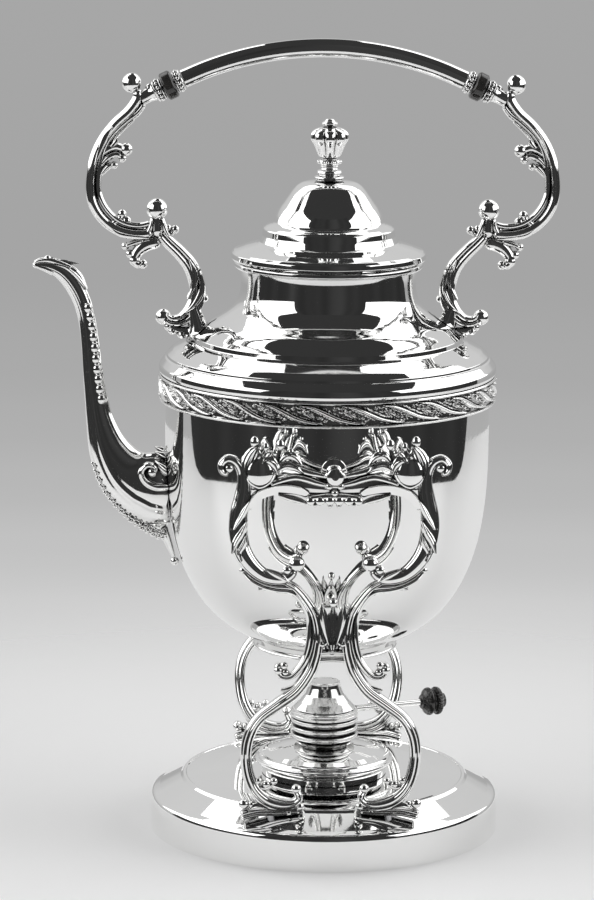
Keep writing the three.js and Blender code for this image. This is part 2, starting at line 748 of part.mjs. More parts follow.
function addLidShell(lid) {
  const slopeFootRadius = lidStepRadius + 9;
  const outer = [
    [lidRadius, 0], [lidRadius, lidRimHeight - 0.8], [lidRadius - 1, lidRimHeight],
    [slopeFootRadius, lidSlopeFoot], [lidStepRadius + 1.6, lidSlopeTop],
    [lidStepRadius, lidSlopeTop + 0.5 * lidStepRise], [lidStepRadius - 0.3, lidStepTop - 0.9],
    [lidStepRadius - 1.4, lidStepTop], onBell(0, 0), onBell(0.09, 0.23), onBell(0.28, 0.41),
    onBell(0.46, 0.63), onBell(0.63, 0.82), onBell(0.8, 0.95), onBell(1, 1), [studHole, lidTop],
  ];
  const inner = [
    [studHole, lidTop - sheet], [nutRadius + 1, lidTop - sheet], onBell(0.94, 0.88),
    onBell(0.7, 0.66), onBell(0.4, 0.36), onBell(0.2, 0.16), onBell(0.1, -0.08),
    [lidStepRadius - 1.4 * sheet, lidStepTop - 1.4 * sheet],
    [lidStepRadius - sheet, lidSlopeTop + 0.4 * lidStepRise],
    [lidStepRadius + 1.6 - sheet, lidSlopeTop - sheet],
    [slopeFootRadius, lidSlopeFoot - sheet], [lidRadius - sheet, lidRimHeight - sheet],
    [lidRadius - sheet, 0],
  ];
  addPart(lid, 'lid_shell', turned([...outer, ...inner], facetsMiddle), silver);
}

function addBezel(lid) {
  const radius = neckRadius - sheet - clearance;
  const top = lidSlopeFoot - sheet - clearance;
  addPart(lid, 'lid_bezel', turned([
    [radius - bezelWall, -bezelDepth], [radius, -bezelDepth], [radius, top], [radius - bezelWall, top],
  ], facetsMiddle), silver);
}

// Turned finial with its stud. Points above the stud are [radius, share of the finial's height].
function addFinial(lid) {
  const base = lidTop + clearance;
  const studEnd = lidTop - sheet - nutHeight - 2;
  const outline = [
    [studRadius, 0], [finialBaseRadius, 0], [finialBaseRadius, 0.07], [finialBaseRadius - 1.6, 0.12],
    [finialNeckRadius, 0.18], [finialNeckRadius + 2.2, 0.26], [finialNeckRadius, 0.35],
    [finialRadius - 3, 0.5], [finialRadius, 0.72], [finialRadius - 1, 0.79], [finialTopRadius - 0.8, 0.86],
    [finialTopRadius, 0.93], [finialTopRadius - 1.4, 1], [0, 1],
  ].map(([r, share]) => [r, base + share * finialHeight]);
  const stud = [[0, studEnd], [studRadius, studEnd]];
  addPart(lid, 'lid_finial', turned([...stud, ...outline], facetsSmall), castSilver);
}

function addNut(lid) {
  const top = lidTop - sheet - clearance;
  const hexagon = turned([
    [studHole, top - nutHeight], [nutRadius, top - nutHeight], [nutRadius, top], [studHole, top],
  ], 6);
  addPart(lid, 'finial_nut', hexagon, steel);
}

// Lamp. Its heights are above the plateau, on which it stands inside the seat ring.

const lampFlangeTop = lampFootHeight + lampFlangeHeight;
const lampDomeTop = lampFlangeTop + lampDomeRise;
const lampNeckTop = lampDomeTop + lampNeckRise;
const burnerBottom = lampDomeTop + 0.8;
const burnerTop = burnerBottom + burnerFins * burnerPitch;
const wickTubeRadius = wickRadius + clearance + wickTubeWall;
const wickTubeTop = burnerTop + wickTubeRise;

function addLampSeat(stand) {
  const inside = lampFootRadius + clearance;
  const outside = inside + seatRingWall;
  const ring = turned([
    [inside, 0], [outside, 0], [outside, seatRingHeight - 0.6], [outside - 0.6, seatRingHeight],
    [inside, seatRingHeight],
  ], facetsMiddle);
  addPart(stand, 'lamp_seat_ring', ring, silver).position.z = plateauHeight + clearance;
}

function addReservoir(lamp) {
  const outer = [
    [0, 0], [lampFootRadius, 0], [lampFootRadius, lampFootHeight - 0.6],
    [lampFlangeRadius, lampFootHeight + 0.4], [lampFlangeRadius, lampFlangeTop - 0.4],
    [lampFlangeRadius - 1.4, lampFlangeTop],
    [lampFlangeRadius - 7, lampFlangeTop + 0.42 * lampDomeRise],
    [lampNeckRadius + 4, lampFlangeTop + 0.86 * lampDomeRise],
    [lampNeckRadius, lampDomeTop], [lampNeckRadius, lampNeckTop],
  ];
  const inner = inset(outer, sheet);
  inner[1] = [lampFootRadius - sheet, sheet];
  inner[inner.length - 1] = [lampNeckRadius - sheet, lampNeckTop];
  const skipped = [5, 6];
  const kept = inner.filter((point, i) => !skipped.includes(i));
  addPart(lamp, 'lamp_reservoir', turned([...outer, ...kept.reverse()], facetsMiddle), silver);
}

function addBurner(lamp) {
  const core = burnerRadius - burnerGroove;
  const fins = [];
  for (let i = 0; i < burnerFins; i += 1) {
    const top = burnerBottom + (i + 1) * burnerPitch;
    const low = top - burnerFin;
    fins.push([core, low], [burnerRadius, low], [burnerRadius, top]);
    if (i < burnerFins - 1) fins.push([core, top]);
  }
  const neckBore = lampNeckRadius + clearance;
  const tubeBore = wickTubeRadius + clearance;
  const flangeTop = lampNeckTop + clearance + 1.3;
  addPart(lamp, 'burner_collar', turned([
    [core, burnerBottom], ...fins, [tubeBore, burnerTop], [tubeBore, flangeTop],
    [neckBore, flangeTop], [neckBore, burnerBottom],
  ], facetsMiddle), burnerSilver);
}

// The wick tube hangs in the reservoir's neck by its flange, and the wick reaches down to the floor
function addWick(lamp) {
  const bore = wickRadius + clearance;
  const flange = lampNeckTop + clearance;
  const flangeRadius = lampNeckRadius - 0.3;
  addPart(lamp, 'wick_tube', turned([
    [bore, lampDomeTop - 5], [wickTubeRadius, lampDomeTop - 5], [wickTubeRadius, flange],
    [flangeRadius, flange], [flangeRadius, flange + 1], [wickTubeRadius, flange + 1],
    [wickTubeRadius, wickTubeTop], [bore, wickTubeTop],
  ], facetsSmall), burnerSilver);
  const wickTop = wickTubeTop + wickRise;
  addPart(lamp, 'wick', cylinder(wickRadius, wickTop - wickLength, wickTop, facetsPin), cotton);
}

// Cone cap, with heights above its skirt's lower edge, and the lever that turns it

function addConeCap(cap) {
  const shelf = burnerRadius - 1.1;
  const inside = burnerRadius - 3.4;
  addPart(cap, 'cone_cap', turned([
    [burnerRadius, 0], [burnerRadius, coneSkirt], [shelf, coneSkirt + 0.2], [shelf, coneSkirt + 1],
    [coneTopRadius + 4.4, 0.42 * coneHeight], [coneTopRadius + 2, 0.62 * coneHeight],
    [coneTopRadius + 0.8, 0.84 * coneHeight], [coneTopRadius, coneHeight], [0, coneHeight],
    [0, coneHeight - coneWall], [coneTopRadius - coneWall, coneHeight - coneWall],
    [coneTopRadius + 1, 0.6 * coneHeight], [inside, coneSkirt + 0.6], [inside, 0],
  ], facetsMiddle), burnerSilver);
}

function addLever(cap) {
  const lever = new THREE.Group();
  lever.position.z = coneSkirt / 2;
  lever.rotation.z = THREE.MathUtils.degToRad(90 + leverAngle);
  cap.add(lever);
  const rodEnd = leverReach + knobSocket;
  const rod = facingFront(cylinder(leverRadius, burnerRadius + clearance, rodEnd, facetsPin));
  addPart(lever, 'lever_rod', rod, burnerSilver);
  const bore = leverRadius + clearance;
  const groove = knobRadius - 1.8;
  const socket = (knobSocket + clearance) / knobLength;
  const knob = [
    [bore, 0], [knobRadius / 2, 0], [knobRadius - 0.8, 0.16], [knobRadius, 0.35], [groove, 0.44],
    [groove, 0.53], [knobRadius, 0.61], [knobRadius - 0.4, 0.75], [knobRadius / 2, 0.82],
    [knobRadius / 2, 1], [0, 1], [0, socket], [bore, socket],
  ].map(([r, share]) => [r, leverReach + share * knobLength]);
  addPart(lever, 'lever_knob', facingFront(turned(knob, facetsSmall)), blackInsulator);
}

const stand = addGroup(kettleAndStand);
addBase(stand);
addScrews(stand);
addBrackets(stand);
addLampSeat(stand);

const kettle = addGroup(kettleAndStand, pivotHeight - kettleHang);
addBowl(kettle);
addFootRing(kettle);
addBand(kettle);
addShoulder(kettle);
addNeckRim(kettle);
addPart(kettle, 'spout', spout(), castSilver);
addTrunnions(kettle);
addHandle(kettle);

const lid = addGroup(kettle, mouth + clearance);
addLidShell(lid);
addBezel(lid);
addFinial(lid);
addNut(lid);

const lamp = addGroup(kettleAndStand, plateauHeight + clearance);
addReservoir(lamp);
addBurner(lamp);
addWick(lamp);

const cap = addGroup(lamp, burnerTop + clearance);
addConeCap(cap);
addLever(cap);

export default kettleAndStand;
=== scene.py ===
# A silver tea kettle on its lamp stand, dressed for a studio photograph.
# Lengths in the outlines are millimetres, and every mesh is made in metres.
import math

import bmesh
import bpy
import numpy as np
from mathutils import Matrix, Vector


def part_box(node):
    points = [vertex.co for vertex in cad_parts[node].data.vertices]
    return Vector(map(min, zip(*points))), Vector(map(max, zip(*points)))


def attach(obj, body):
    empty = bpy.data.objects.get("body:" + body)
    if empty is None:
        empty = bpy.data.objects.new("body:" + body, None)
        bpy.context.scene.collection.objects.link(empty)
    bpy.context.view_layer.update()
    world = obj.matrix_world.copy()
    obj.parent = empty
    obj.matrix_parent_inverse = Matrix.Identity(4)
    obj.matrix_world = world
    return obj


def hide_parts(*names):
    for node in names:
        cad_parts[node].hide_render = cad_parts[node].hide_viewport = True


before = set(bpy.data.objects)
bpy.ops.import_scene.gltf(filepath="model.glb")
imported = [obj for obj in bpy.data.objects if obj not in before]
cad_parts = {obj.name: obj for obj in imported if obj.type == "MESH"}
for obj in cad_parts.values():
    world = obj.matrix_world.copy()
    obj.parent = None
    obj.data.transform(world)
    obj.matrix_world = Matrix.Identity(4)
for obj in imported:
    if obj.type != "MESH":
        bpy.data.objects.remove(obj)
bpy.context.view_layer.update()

MM = 0.001
CLEARANCE = 0.3


def node_box(node):
    """Lowest and highest corner of a node of the frame in millimetres."""
    low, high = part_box(node)
    return low / MM, high / MM


def extent(node):
    """Lowest Z, highest Z and highest X of a node of the frame."""
    low, high = node_box(node)
    return low.z, high.z, high.x


# Heights and radii that the turned pieces share, taken from the frame
_, PLATEAU, BASE_RADIUS = extent("base_disc")
FOOT, FOOT_TOP, FOOT_RADIUS = extent("foot_ring")
BOWL_BOTTOM, SEAM, BOWL_RADIUS = extent("kettle_bowl")
BAND_BOTTOM, BAND_TOP, BAND_RADIUS = extent("ornament_band")
LID_BOTTOM, LID_TOP, LID_RADIUS = extent("lid_shell")
MOUTH, GRIP_TOP, FINIAL_TOP = (extent(node)[1] for node in ("kettle_shoulder", "handle_grip", "lid_finial"))
PIVOT = sum(extent("front_trunnion")[:2]) / 2
PLATEAU_RADIUS = 61.3

# Brackets: they lean from the base up to the tilt axis
BRACKET_FOOT_DISTANCE = 62
BRACKET_TOP_DISTANCE = 79
BRACKET_LEAN = (BRACKET_TOP_DISTANCE - BRACKET_FOOT_DISTANCE) / (PIVOT - PLATEAU)

# Handle
HANDLE_MIDDLE = -2.5
GRIP_HALF_SPAN = 60
GRIP_ARCH = 13.4
GRIP_RADIUS = 4
GRIP_ARC = (GRIP_HALF_SPAN ** 2 + GRIP_ARCH ** 2) / (2 * GRIP_ARCH)
GRIP_END_TURN = math.asin(GRIP_HALF_SPAN / GRIP_ARC)
GRIP_PEAK = GRIP_TOP - GRIP_RADIUS

# Shapes as (points, faces), points in millimetres


def joined(shapes):
    points, faces, start = [], [], 0
    for shape_points, shape_faces in shapes:
        points.append(np.asarray(shape_points, float))
        faces += [tuple(start + i for i in face) for face in shape_faces]
        start += len(shape_points)
    return np.concatenate(points), faces


def placed(shape, matrix):
    points = np.asarray(shape[0], float) @ np.array(matrix.to_3x3()).T + np.array(matrix.translation)
    return points, shape[1]


def shifted(shape, x=0.0, y=0.0, z=0.0):
    return placed(shape, Matrix.Translation((x, y, z)))


def both(shape):
    """A shape of the right half and its mirror image."""
    return joined([shape, (shape[0] * [-1, 1, 1], shape[1])])


def raised(points, height):
    """The points of a curve or an outline, with their heights counted from the given one."""
    return [(p[0], p[1] + height, *p[2:]) for p in points]


def loft(rings):
    """A closed body through rings of equal count; a ring of one point closes an end."""
    points, faces, starts = [], [], []
    for ring in rings:
        starts.append(len(points))
        points.extend(ring)
    for ring, following, a, b in zip(rings, rings[1:], starts, starts[1:]):
        count = max(len(ring), len(following))
        for i in range(count):
            j = (i + 1) % count
            if len(ring) == 1:
                faces.append((a, b + i, b + j))
            elif len(following) == 1:
                faces.append((a + i, a + j, b))
            else:
                faces.append((a + i, a + j, b + j, b + i))
    return np.array(points, float), faces


def rounded(corners, steps=5):
    """Outline through (r, z, fillet) corners, each fillet drawn as an arc; a missing one is sharp."""
    points = []
    for i, corner in enumerate(corners):
        here = Vector(corner[:2])
        sharp = len(corner) < 3 or i in (0, len(corners) - 1)
        if not sharp:
            before, after = (Vector(corners[i + step][:2]) - here for step in (-1, 1))
            half = before.angle(after) / 2
            sharp = half > math.radians(89.5)
        if sharp:
            points.append(tuple(here))
            continue
        reach = min(corner[2] / math.tan(half), 0.49 * before.length, 0.49 * after.length)
        start, end = (here + way.normalized() * reach for way in (before, after))
        for step in range(steps + 1):
            t = step / steps
            points.append(tuple(start * (1 - t) ** 2 + here * 2 * t * (1 - t) + end * t ** 2))
    return points


def smooth(points, per_span=6):
    """Points of any size along a Catmull-Rom curve."""
    rows = np.array(points, float)
    padded = np.vstack([2 * rows[0] - rows[1], rows, 2 * rows[-1] - rows[-2]])
    result = []
    for i in range(1, len(padded) - 2):
        p0, p1, p2, p3 = padded[i - 1:i + 3]
        for step in range(per_span):
            t = step / per_span
            result.append(0.5 * (2 * p1 + (p2 - p0) * t + (2 * p0 - 5 * p1 + 4 * p2 - p3) * t ** 2
                                 + (3 * p1 - p0 - 3 * p2 + p3) * t ** 3))
    return np.array(result + [rows[-1]])


def turned(outline, around=160, lobes=None):
    """A body of revolution round Z. The outline closes on the axis, or else on itself."""
    rings = []
    closed = outline[0][0] > 1e-6
    for r, z in list(outline) + ([outline[0]] if closed else []):
        ring = []
        for i in range(around if r > 1e-6 else 1):
            turn = 2 * math.pi * i / around
            radius = r * (lobes(turn, z) if lobes else 1) if r > 1e-6 else 0
            ring.append((radius * math.cos(turn), radius * math.sin(turn), z))
        rings.append(ring)
    return loft(rings)


def spun(corners, around, base=0, steps=5, lobes=None):
    """A turned piece from its filleted corners, with heights counted from a base."""
    return turned(rounded(raised(corners, base), steps), around, lobes)


def ball(centre, radius, stretch=(1, 1, 1), around=20):
    """A cast ball or drop, flattened or drawn out by stretch."""
    half = around // 2
    turns = [math.pi * i / half for i in range(1, half)]
    arc = [(radius * math.sin(turn), -radius * math.cos(turn)) for turn in turns]
    points, faces = turned([(0, -radius), *arc, (0, radius)], around)
    return points * np.array(stretch) + np.array(centre), faces


def balls(y, rows, stretch=(1, 1, 1), around=16):
    """Balls in one plane, given as (x, z, radius)."""
    return [ball((x, y, z), radius, stretch, around) for x, z, radius in rows]


def round_section(count=16):
    return [(math.cos(2 * math.pi * i / count), math.sin(2 * math.pi * i / count)) for i in range(count)]


def moulded_section(height, count=22):
    """Section of a cast bar: its face, towards -1, follows height(across), and its back is flatter."""
    across = [-math.cos(math.pi * i / (count - 1)) for i in range(count)]
    turns = [math.pi * i / 8 for i in range(1, 8)]
    return ([(a, -max(height(a), 0.0)) for a in across]
            + [(math.cos(turn), 0.85 * math.sin(turn) ** 0.6) for turn in turns])


ROUND = round_section()
VEINED = moulded_section(
    lambda a: 0.55 * math.sqrt(max(0.0, 1 - a ** 2)) + 0.45 * math.exp(-(a / 0.16) ** 2))
SLANTED = moulded_section(lambda a: 0.5 + 0.4 * a)


def bar(points, depth=None, section=ROUND, per_span=6, taper=True):
    """A cast bar along a smooth curve in the XZ plane.

    Points are (x, z, width, depth), and a missing depth is the one given; ends are domed.
    """
    rows = [(x, z, width / 2, (own[0] if own else depth or width) / 2) for x, z, width, *own in points]
    path = smooth(rows, per_span)
    spans = np.linalg.norm(np.diff(path[:, :2], axis=0), axis=1)
    along = np.concatenate([[0], np.cumsum(spans)])
    length = along[-1]
    places = [(d, 1.0) for d in along]
    if taper:
        first, last = (min(path[end, 2], length / 3) for end in (0, -1))
        places = [(d, 1.0) for d in along if first < d < length - last]
        for i in range(1, 6):
            share = 1 - math.cos(math.pi / 2 * i / 5)
            scale = math.sqrt(1 - (1 - share) ** 2)
            places += [(first * share, scale), (length - last * share, scale)]
        places = sorted(set(places))
    table = np.hstack([path, np.gradient(path[:, :2], along, axis=0)])
    rings = []
    for place, scale in places:
        x, z, half, deep, tx, tz = (np.interp(place, along, column) for column in table.T)
        reach = half * scale / math.hypot(tx, tz)
        rings.append([(x + tz * a * reach, d * deep * scale, z - tx * a * reach) for a, d in section])
    if taper:
        ends = [[(path[end, 0], 0, path[end, 1])] for end in (0, -1)]
    else:
        ends = [[np.mean(rings[end], axis=0)] for end in (0, -1)]
    return loft([ends[0], *rings, ends[1]])


def strands(points, lanes, depth):
    """Round strands side by side along one curve, grown together as a reeded casting.

    Each lane is (shift, share of the width, share of the depth); a shift of 1 is the curve's right edge.
    """
    path = smooth(points, 6)
    tangents = np.gradient(path[:, :2], axis=0)
    tangents /= np.linalg.norm(tangents, axis=1)[:, None]
    return joined([
        bar([(x + tz * shift * width / 2, z - tx * shift * width / 2, share * width, deep * depth)
             for (x, z, width), (tx, tz) in zip(path, tangents)], per_span=1)
        for shift, share, deep in lanes])


def leaf(points, depth=2.4, lift=0.0):
    """A veined leaf along a curve; points are (x, z, width), and its ends run to points."""
    return shifted(bar(points, depth, VEINED, taper=False), y=lift)


def leaves(depth, rows):
    """Leaves given as (lift, points)."""
    return [leaf(points, depth, lift) for lift, points in rows]


def blossom(centre, radius, turn):
    """A cast flower that faces -Y."""
    x, y, z = centre
    petal = ball((0.62 * radius, 0, 0), 0.42 * radius, (1, 0.62, 0.82), 12)
    petals = [placed(petal, Matrix.Rotation(-turn - 2 * math.pi * i / 5, 4, "Y")) for i in range(5)]
    middle = ball((x, y - 0.35 * radius, z), 0.36 * radius, around=12)
    return joined([middle, shifted(joined(petals), x, y, z)])


def piece(name, shape, look, body, node, crease=38):
    """Makes a shape a piece of the kettle that rides on a body in place of a node of the frame."""
    points, faces = shape
    material, slot = look
    mesh = bpy.data.meshes.new(name)
    mesh.from_pydata([tuple(p * MM) for p in np.asarray(points, float)], [], faces)
    work = bmesh.new()
    work.from_mesh(mesh)
    bmesh.ops.remove_doubles(work, verts=work.verts, dist=1e-7)
    bmesh.ops.recalc_face_normals(work, faces=work.faces)
    for edge in work.edges:
        edge.smooth = edge.is_manifold and edge.calc_face_angle(0) < math.radians(crease)
    for face in work.faces:
        face.smooth = True
    work.to_mesh(mesh)
    work.free()
    mesh.materials.append(material)
    made = bpy.data.objects.new(name, mesh)
    bpy.context.scene.collection.objects.link(made)
    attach(made, body)
    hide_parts(node)


# Materials


def feed(tree, node, inputs):
    """Sets a node's inputs, or links them to sockets; colours leave out their alpha."""
    for name, value in inputs.items():
        socket = node.inputs[name]
        if isinstance(value, bpy.types.NodeSocket):
            tree.links.new(value, socket)
        else:
            socket.default_value = (*value, 1) if socket.type == "RGBA" else value


def add(tree, kind, output=None, inputs=None, **settings):
    """A new node; gives its named output, or the node itself where none is named."""
    node = tree.nodes.new("ShaderNode" + kind)
    for name, value in settings.items():
        setattr(node, name, value)
    feed(tree, node, inputs or {})
    return node.outputs[output] if output else node


def new_material(name):
    material = bpy.data.materials.new(name)
    material.use_nodes = True
    return material, material.node_tree, material.node_tree.nodes["Principled BSDF"]


def own_space(tree):
    return add(tree, "TexCoord", "Object")


def noise(tree, scale, detail, stretch=(1, 1, 1)):
    """A noise value in the piece's own space."""
    place = add(tree, "Mapping", "Vector", {"Vector": own_space(tree), "Scale": stretch})
    return add(tree, "TexNoise", "Fac", {"Vector": place, "Scale": scale, "Detail": detail})


def ranged(tree, value, low, high, start=0.3, end=0.7, curve="LINEAR"):
    """Maps a value between start and end, its middle range if not given, to low..high."""
    limits = {"From Min": start, "From Max": end, "To Min": low, "To Max": high}
    return add(tree, "MapRange", "Result", {"Value": value, **limits}, interpolation_type=curve)


def mixed(tree, share, first, second):
    """A colour between two, each a colour or a socket."""
    return add(tree, "Mix", "Result", {"Factor": share, "A": first, "B": second}, data_type="RGBA")


def clouded(tree, scale, detail, first, second):
    return mixed(tree, ranged(tree, noise(tree, scale, detail), 0, 1), first, second)


def bumped(tree, height, distance):
    return add(tree, "Bump", "Normal", {"Height": height, "Distance": distance, "Strength": 1.0})


def silver(name, bright, worn, smoothest, roughest, hollow=None, dished=0.0):
    """Polished silver plate with faint tarnish and wiping marks.

    Castings also have darker hollows from tarnish, and faces that seem dished; the same darkening in the
    burner's grooves is painted shade.
    """
    material, tree, shader = new_material(name)
    colour = clouded(tree, 22, 3, bright, worn)
    if hollow:
        # Darker colour where the surface is enclosed: tarnish in the castings' hollows, painted shade in the
        # burner's grooves
        hollow_tarnish_and_shade_mask = add(tree, "AmbientOcclusion", "AO", {"Distance": 0.003}, samples=8)
        colour = mixed(tree, ranged(tree, hollow_tarnish_and_shade_mask, 0, 1, 0.25, 0.75), hollow, colour)
    normal = bumped(tree, noise(tree, 130, 2), 0.000006)
    if dished:
        tilted = add(tree, "VectorMath", "Vector", {0: normal, 1: (0, 0, dished)})
        normal = add(tree, "VectorMath", "Vector", {0: tilted}, operation="NORMALIZE")
    marks = noise(tree, 900, 6, (1, 1, 0.12))
    feed(tree, shader, {"Metallic": 1.0, "Base Color": colour, "Normal": normal,
                        "Roughness": ranged(tree, marks, smoothest, roughest)})
    return material


def black_plastic():
    material, tree, shader = new_material("insulator_black")
    feed(tree, shader, {"Base Color": clouded(tree, 260, 4, (0.012, 0.012, 0.012), (0.03, 0.028, 0.026)),
                        "Roughness": ranged(tree, noise(tree, 700, 5), 0.1, 0.2), "IOR": 1.65,
                        "Normal": bumped(tree, noise(tree, 1500, 3), 0.00001)})
    return material


def plain_steel():
    material, tree, shader = new_material("fastener_steel")
    marks = noise(tree, 2500, 4, (1, 1, 0.05))
    colour = clouded(tree, 300, 3, (0.5, 0.5, 0.51), (0.62, 0.62, 0.63))
    feed(tree, shader, {"Metallic": 1.0, "Base Color": colour, "Roughness": ranged(tree, marks, 0.25, 0.45)})
    return material


def braided_cotton():
    material, tree, shader = new_material("wick_cotton")
    weave = add(tree, "TexWave", "Fac", {"Vector": own_space(tree), "Scale": 900, "Distortion": 2},
                bands_direction="DIAGONAL")
    colour = mixed(tree, weave, (0.55, 0.5, 0.4), (0.86, 0.82, 0.72))
    feed(tree, shader, {"Base Color": colour, "Roughness": 0.95, "Normal": bumped(tree, weave, 0.0002)})
    return material


# Each look is a material and the name of a slot
BRIGHT, WORN, HOLLOW = (0.94, 0.94, 0.935), (0.9, 0.9, 0.89), (0.2, 0.2, 0.2)
POLISHED = silver("silver_polished", BRIGHT, (0.9, 0.9, 0.895), 0.02, 0.05), "polished_silver"
CAST = silver("silver_cast", BRIGHT, WORN, 0.04, 0.09, HOLLOW), "cast_silver"
BRACKET = silver("silver_bracket", BRIGHT, WORN, 0.04, 0.09, HOLLOW, 0.2), "cast_silver"
# The burner's near-black hollow colour is painted shade in the grooves between its fins
BURNER = (silver("silver_burner", (0.84, 0.84, 0.835), (0.74, 0.74, 0.73), 0.08, 0.16, (0.07, 0.07, 0.068)),
          "burner_silver")
BLACK = black_plastic(), "black_insulator"
STEEL = plain_steel(), "steel"
COTTON = braided_cotton(), "cotton"

# Stand


def base_disc():
    """The spun base with its seam round the plateau."""
    wide, seam, sheet = BASE_RADIUS, PLATEAU_RADIUS, 1.6
    outer = [
        (wide, 0), (wide, 15.4, 3.6), (wide - 4, 17.2, 3), (seam + 1.6, PLATEAU - 1.1, 1.4),
        (seam + 0.5, PLATEAU, 0.5), (seam - 0.6, PLATEAU, 0.4), (seam - 1, PLATEAU - 0.4, 0.4),
        (seam - 2.2, PLATEAU - 0.3, 2), (seam - 12, PLATEAU, 8), (0, PLATEAU)]
    inner = [(0, PLATEAU - sheet), (seam - 2, PLATEAU - sheet, 1), (wide - sheet, 13.5, 3), (wide - sheet, 0)]
    return turned(rounded(outer, 7) + rounded(inner), 224)


def screw(low, high):
    """A countersunk screw seen from under the base, with its slot."""
    radius = (high.x - low.x) / 2
    z, half_slot = low.z, 0.35
    body = spun([
        (0, 0.5), (radius - 0.5, 0.5, 0.2), (radius, 0.9, 0.3), (radius, 1.6, 0.3), (radius / 2, 1.6, 0.2),
        (radius / 2, high.z - z, 0.3), (0, high.z - z)], 40, z)
    points, faces = spun([(0, 0), (radius - 0.6, 0, 0.2), (radius - 0.3, 0.55, 0.1), (0, 0.55)], 40, z)
    lips = []
    for side in (-1, 1):
        moved = points.copy()
        moved[:, 1] = side * np.maximum(side * moved[:, 1], half_slot)
        lips.append((moved, faces))
    return shifted(joined([body, *lips]), (low.x + high.x) / 2, (low.y + high.y) / 2)


# Bracket castings. Points are (x, height, width); those of the legs are above the plateau and
# those of the lyre above the tilt axis.
LEG = [
    (20, 102.5, 2.8), (15.6, 99.8, 3.2), (11.2, 94.4, 3.6), (7.6, 88, 3.8), (6, 80, 4.2), (6.2, 74, 4.6),
    (7.4, 68, 5), (9.9, 61.6, 5.4), (15.2, 54, 5.6), (23.2, 47.8, 5.4), (30.4, 41.9, 5.1), (34.4, 34.9, 4.9),
    (35.9, 26.5, 4.8), (35, 17.4, 5), (32.2, 10.2, 5.4), (27.2, 4.8, 6.2), (20.8, 2.6, 6), (15.8, 3.2, 4.6),
    (13.2, 6, 3.4), (14.4, 9.2, 2.8)]
SIDE_CURL = [
    (37.4, 107.2, 1.8), (34.8, 104.2, 2.6), (29.7, 101.2, 2.9), (23.9, 99.6, 3.2), (18, 99, 3.8),
    (14, 96.6, 4.2), (10.2, 90.4, 4.2), (8.9, 83.5, 4), (9.2, 75.7, 3.9), (11, 69, 3.7), (14, 64, 3.5),
    (17.4, 60.9, 3.3), (20.6, 60.7, 3), (22.9, 62.8, 2.8), (22.6, 65.6, 2.6), (20.4, 65.6, 2.2)]
ARM = [
    (16.4, -40.6, 3), (17.4, -43, 3.8), (20.4, -44.8, 4.8), (24.4, -44.9, 5.2), (29.6, -43.2, 5.8),
    (34.6, -38.8, 6.7), (38.3, -32.6, 7.3), (39.8, -25, 7.4), (39.7, -17.6, 7.2), (38.4, -10.6, 6.6),
    (37.5, -4, 5.6), (38.2, 1.4, 4.6), (40.6, 5.6, 3.8), (44.2, 7.2, 3.4), (46.8, 5, 3.2), (46.4, 1.8, 2.8),
    (44, 0.8, 2.2)]
ARCH = [
    (35.6, -15, 1.8), (32.8, -10.5, 3.2), (29.3, -7.8, 3.9), (24.3, -6.3, 4.2), (19.3, -6, 4.1),
    (14.4, -6.8, 3.7), (10.8, -8.8, 2.6)]
ARCH_EDGE = [(36.2, -13, 1), (33.6, -8.4, 1.1), (29.6, -5.8, 1.2), (24.3, -4.2, 1.2), (19, -4, 1.1),
             (13.6, -5, 1)]
LOWER_LENS = [(23.4, -8.4, 1), (18.8, -9.8, 2.8), (14.6, -11, 2.6), (11.4, -12.2, 1)]
LOWER_RIBBON = [(27, -4, 2.6), (22.7, -2.2, 3.4), (16.9, -0.8, 3.4), (11.9, -1.6, 3.2), (7, -3.2, 2.8),
                (2.4, -4.2, 2.2)]
UPPER_RIBBON = [(21, 3.2, 2), (17, 3.4, 3), (12, 1.6, 3), (7, 0.4, 2.6), (3, -0.4, 2)]
CROWN_WEB = [(36, -5, 4), (30, -3.4, 6), (22, -3, 6.4), (13, -4.6, 6.6), (0, -5.6, 8)]
LUMP_RIM = [(36.6, 2.6, 1.6), (35.8, -1.8, 2.4), (31.2, -4.7, 2.6), (26.7, -2.2, 2.4), (25, 1.6, 1.8),
            (26.4, 4, 1.4)]
TWO_STRANDS = [(-0.42, 0.6, 1.0), (0.48, 0.52, 0.84)]
THREE_STRANDS = [(-0.56, 0.46, 0.9), (0.1, 0.58, 1.0), (0.74, 0.3, 0.8)]
RIMMED = [(0, 1.0, 1.0), (-0.84, 0.24, 0.72), (0.84, 0.24, 0.72)]


def half_legs(depth):
    """The right leg with its side curl, over the plateau."""
    curl_end = [(22.6, 63.6, 1.9), (20.2, 65.8, 1.7), (19.6, 62.9, 1.6)]
    return shifted(joined([
        strands(LEG, THREE_STRANDS, depth), strands(SIDE_CURL, TWO_STRANDS, depth - 0.6),
        ball((14.4, -0.8, 10.2), 2.1, around=18), *balls(-1.2, curl_end),
        leaf([(14.6, 57.6, 1), (17.8, 55, 2.8), (21.4, 54.6, 1.4)], 3, -0.8)]), z=PLATEAU)


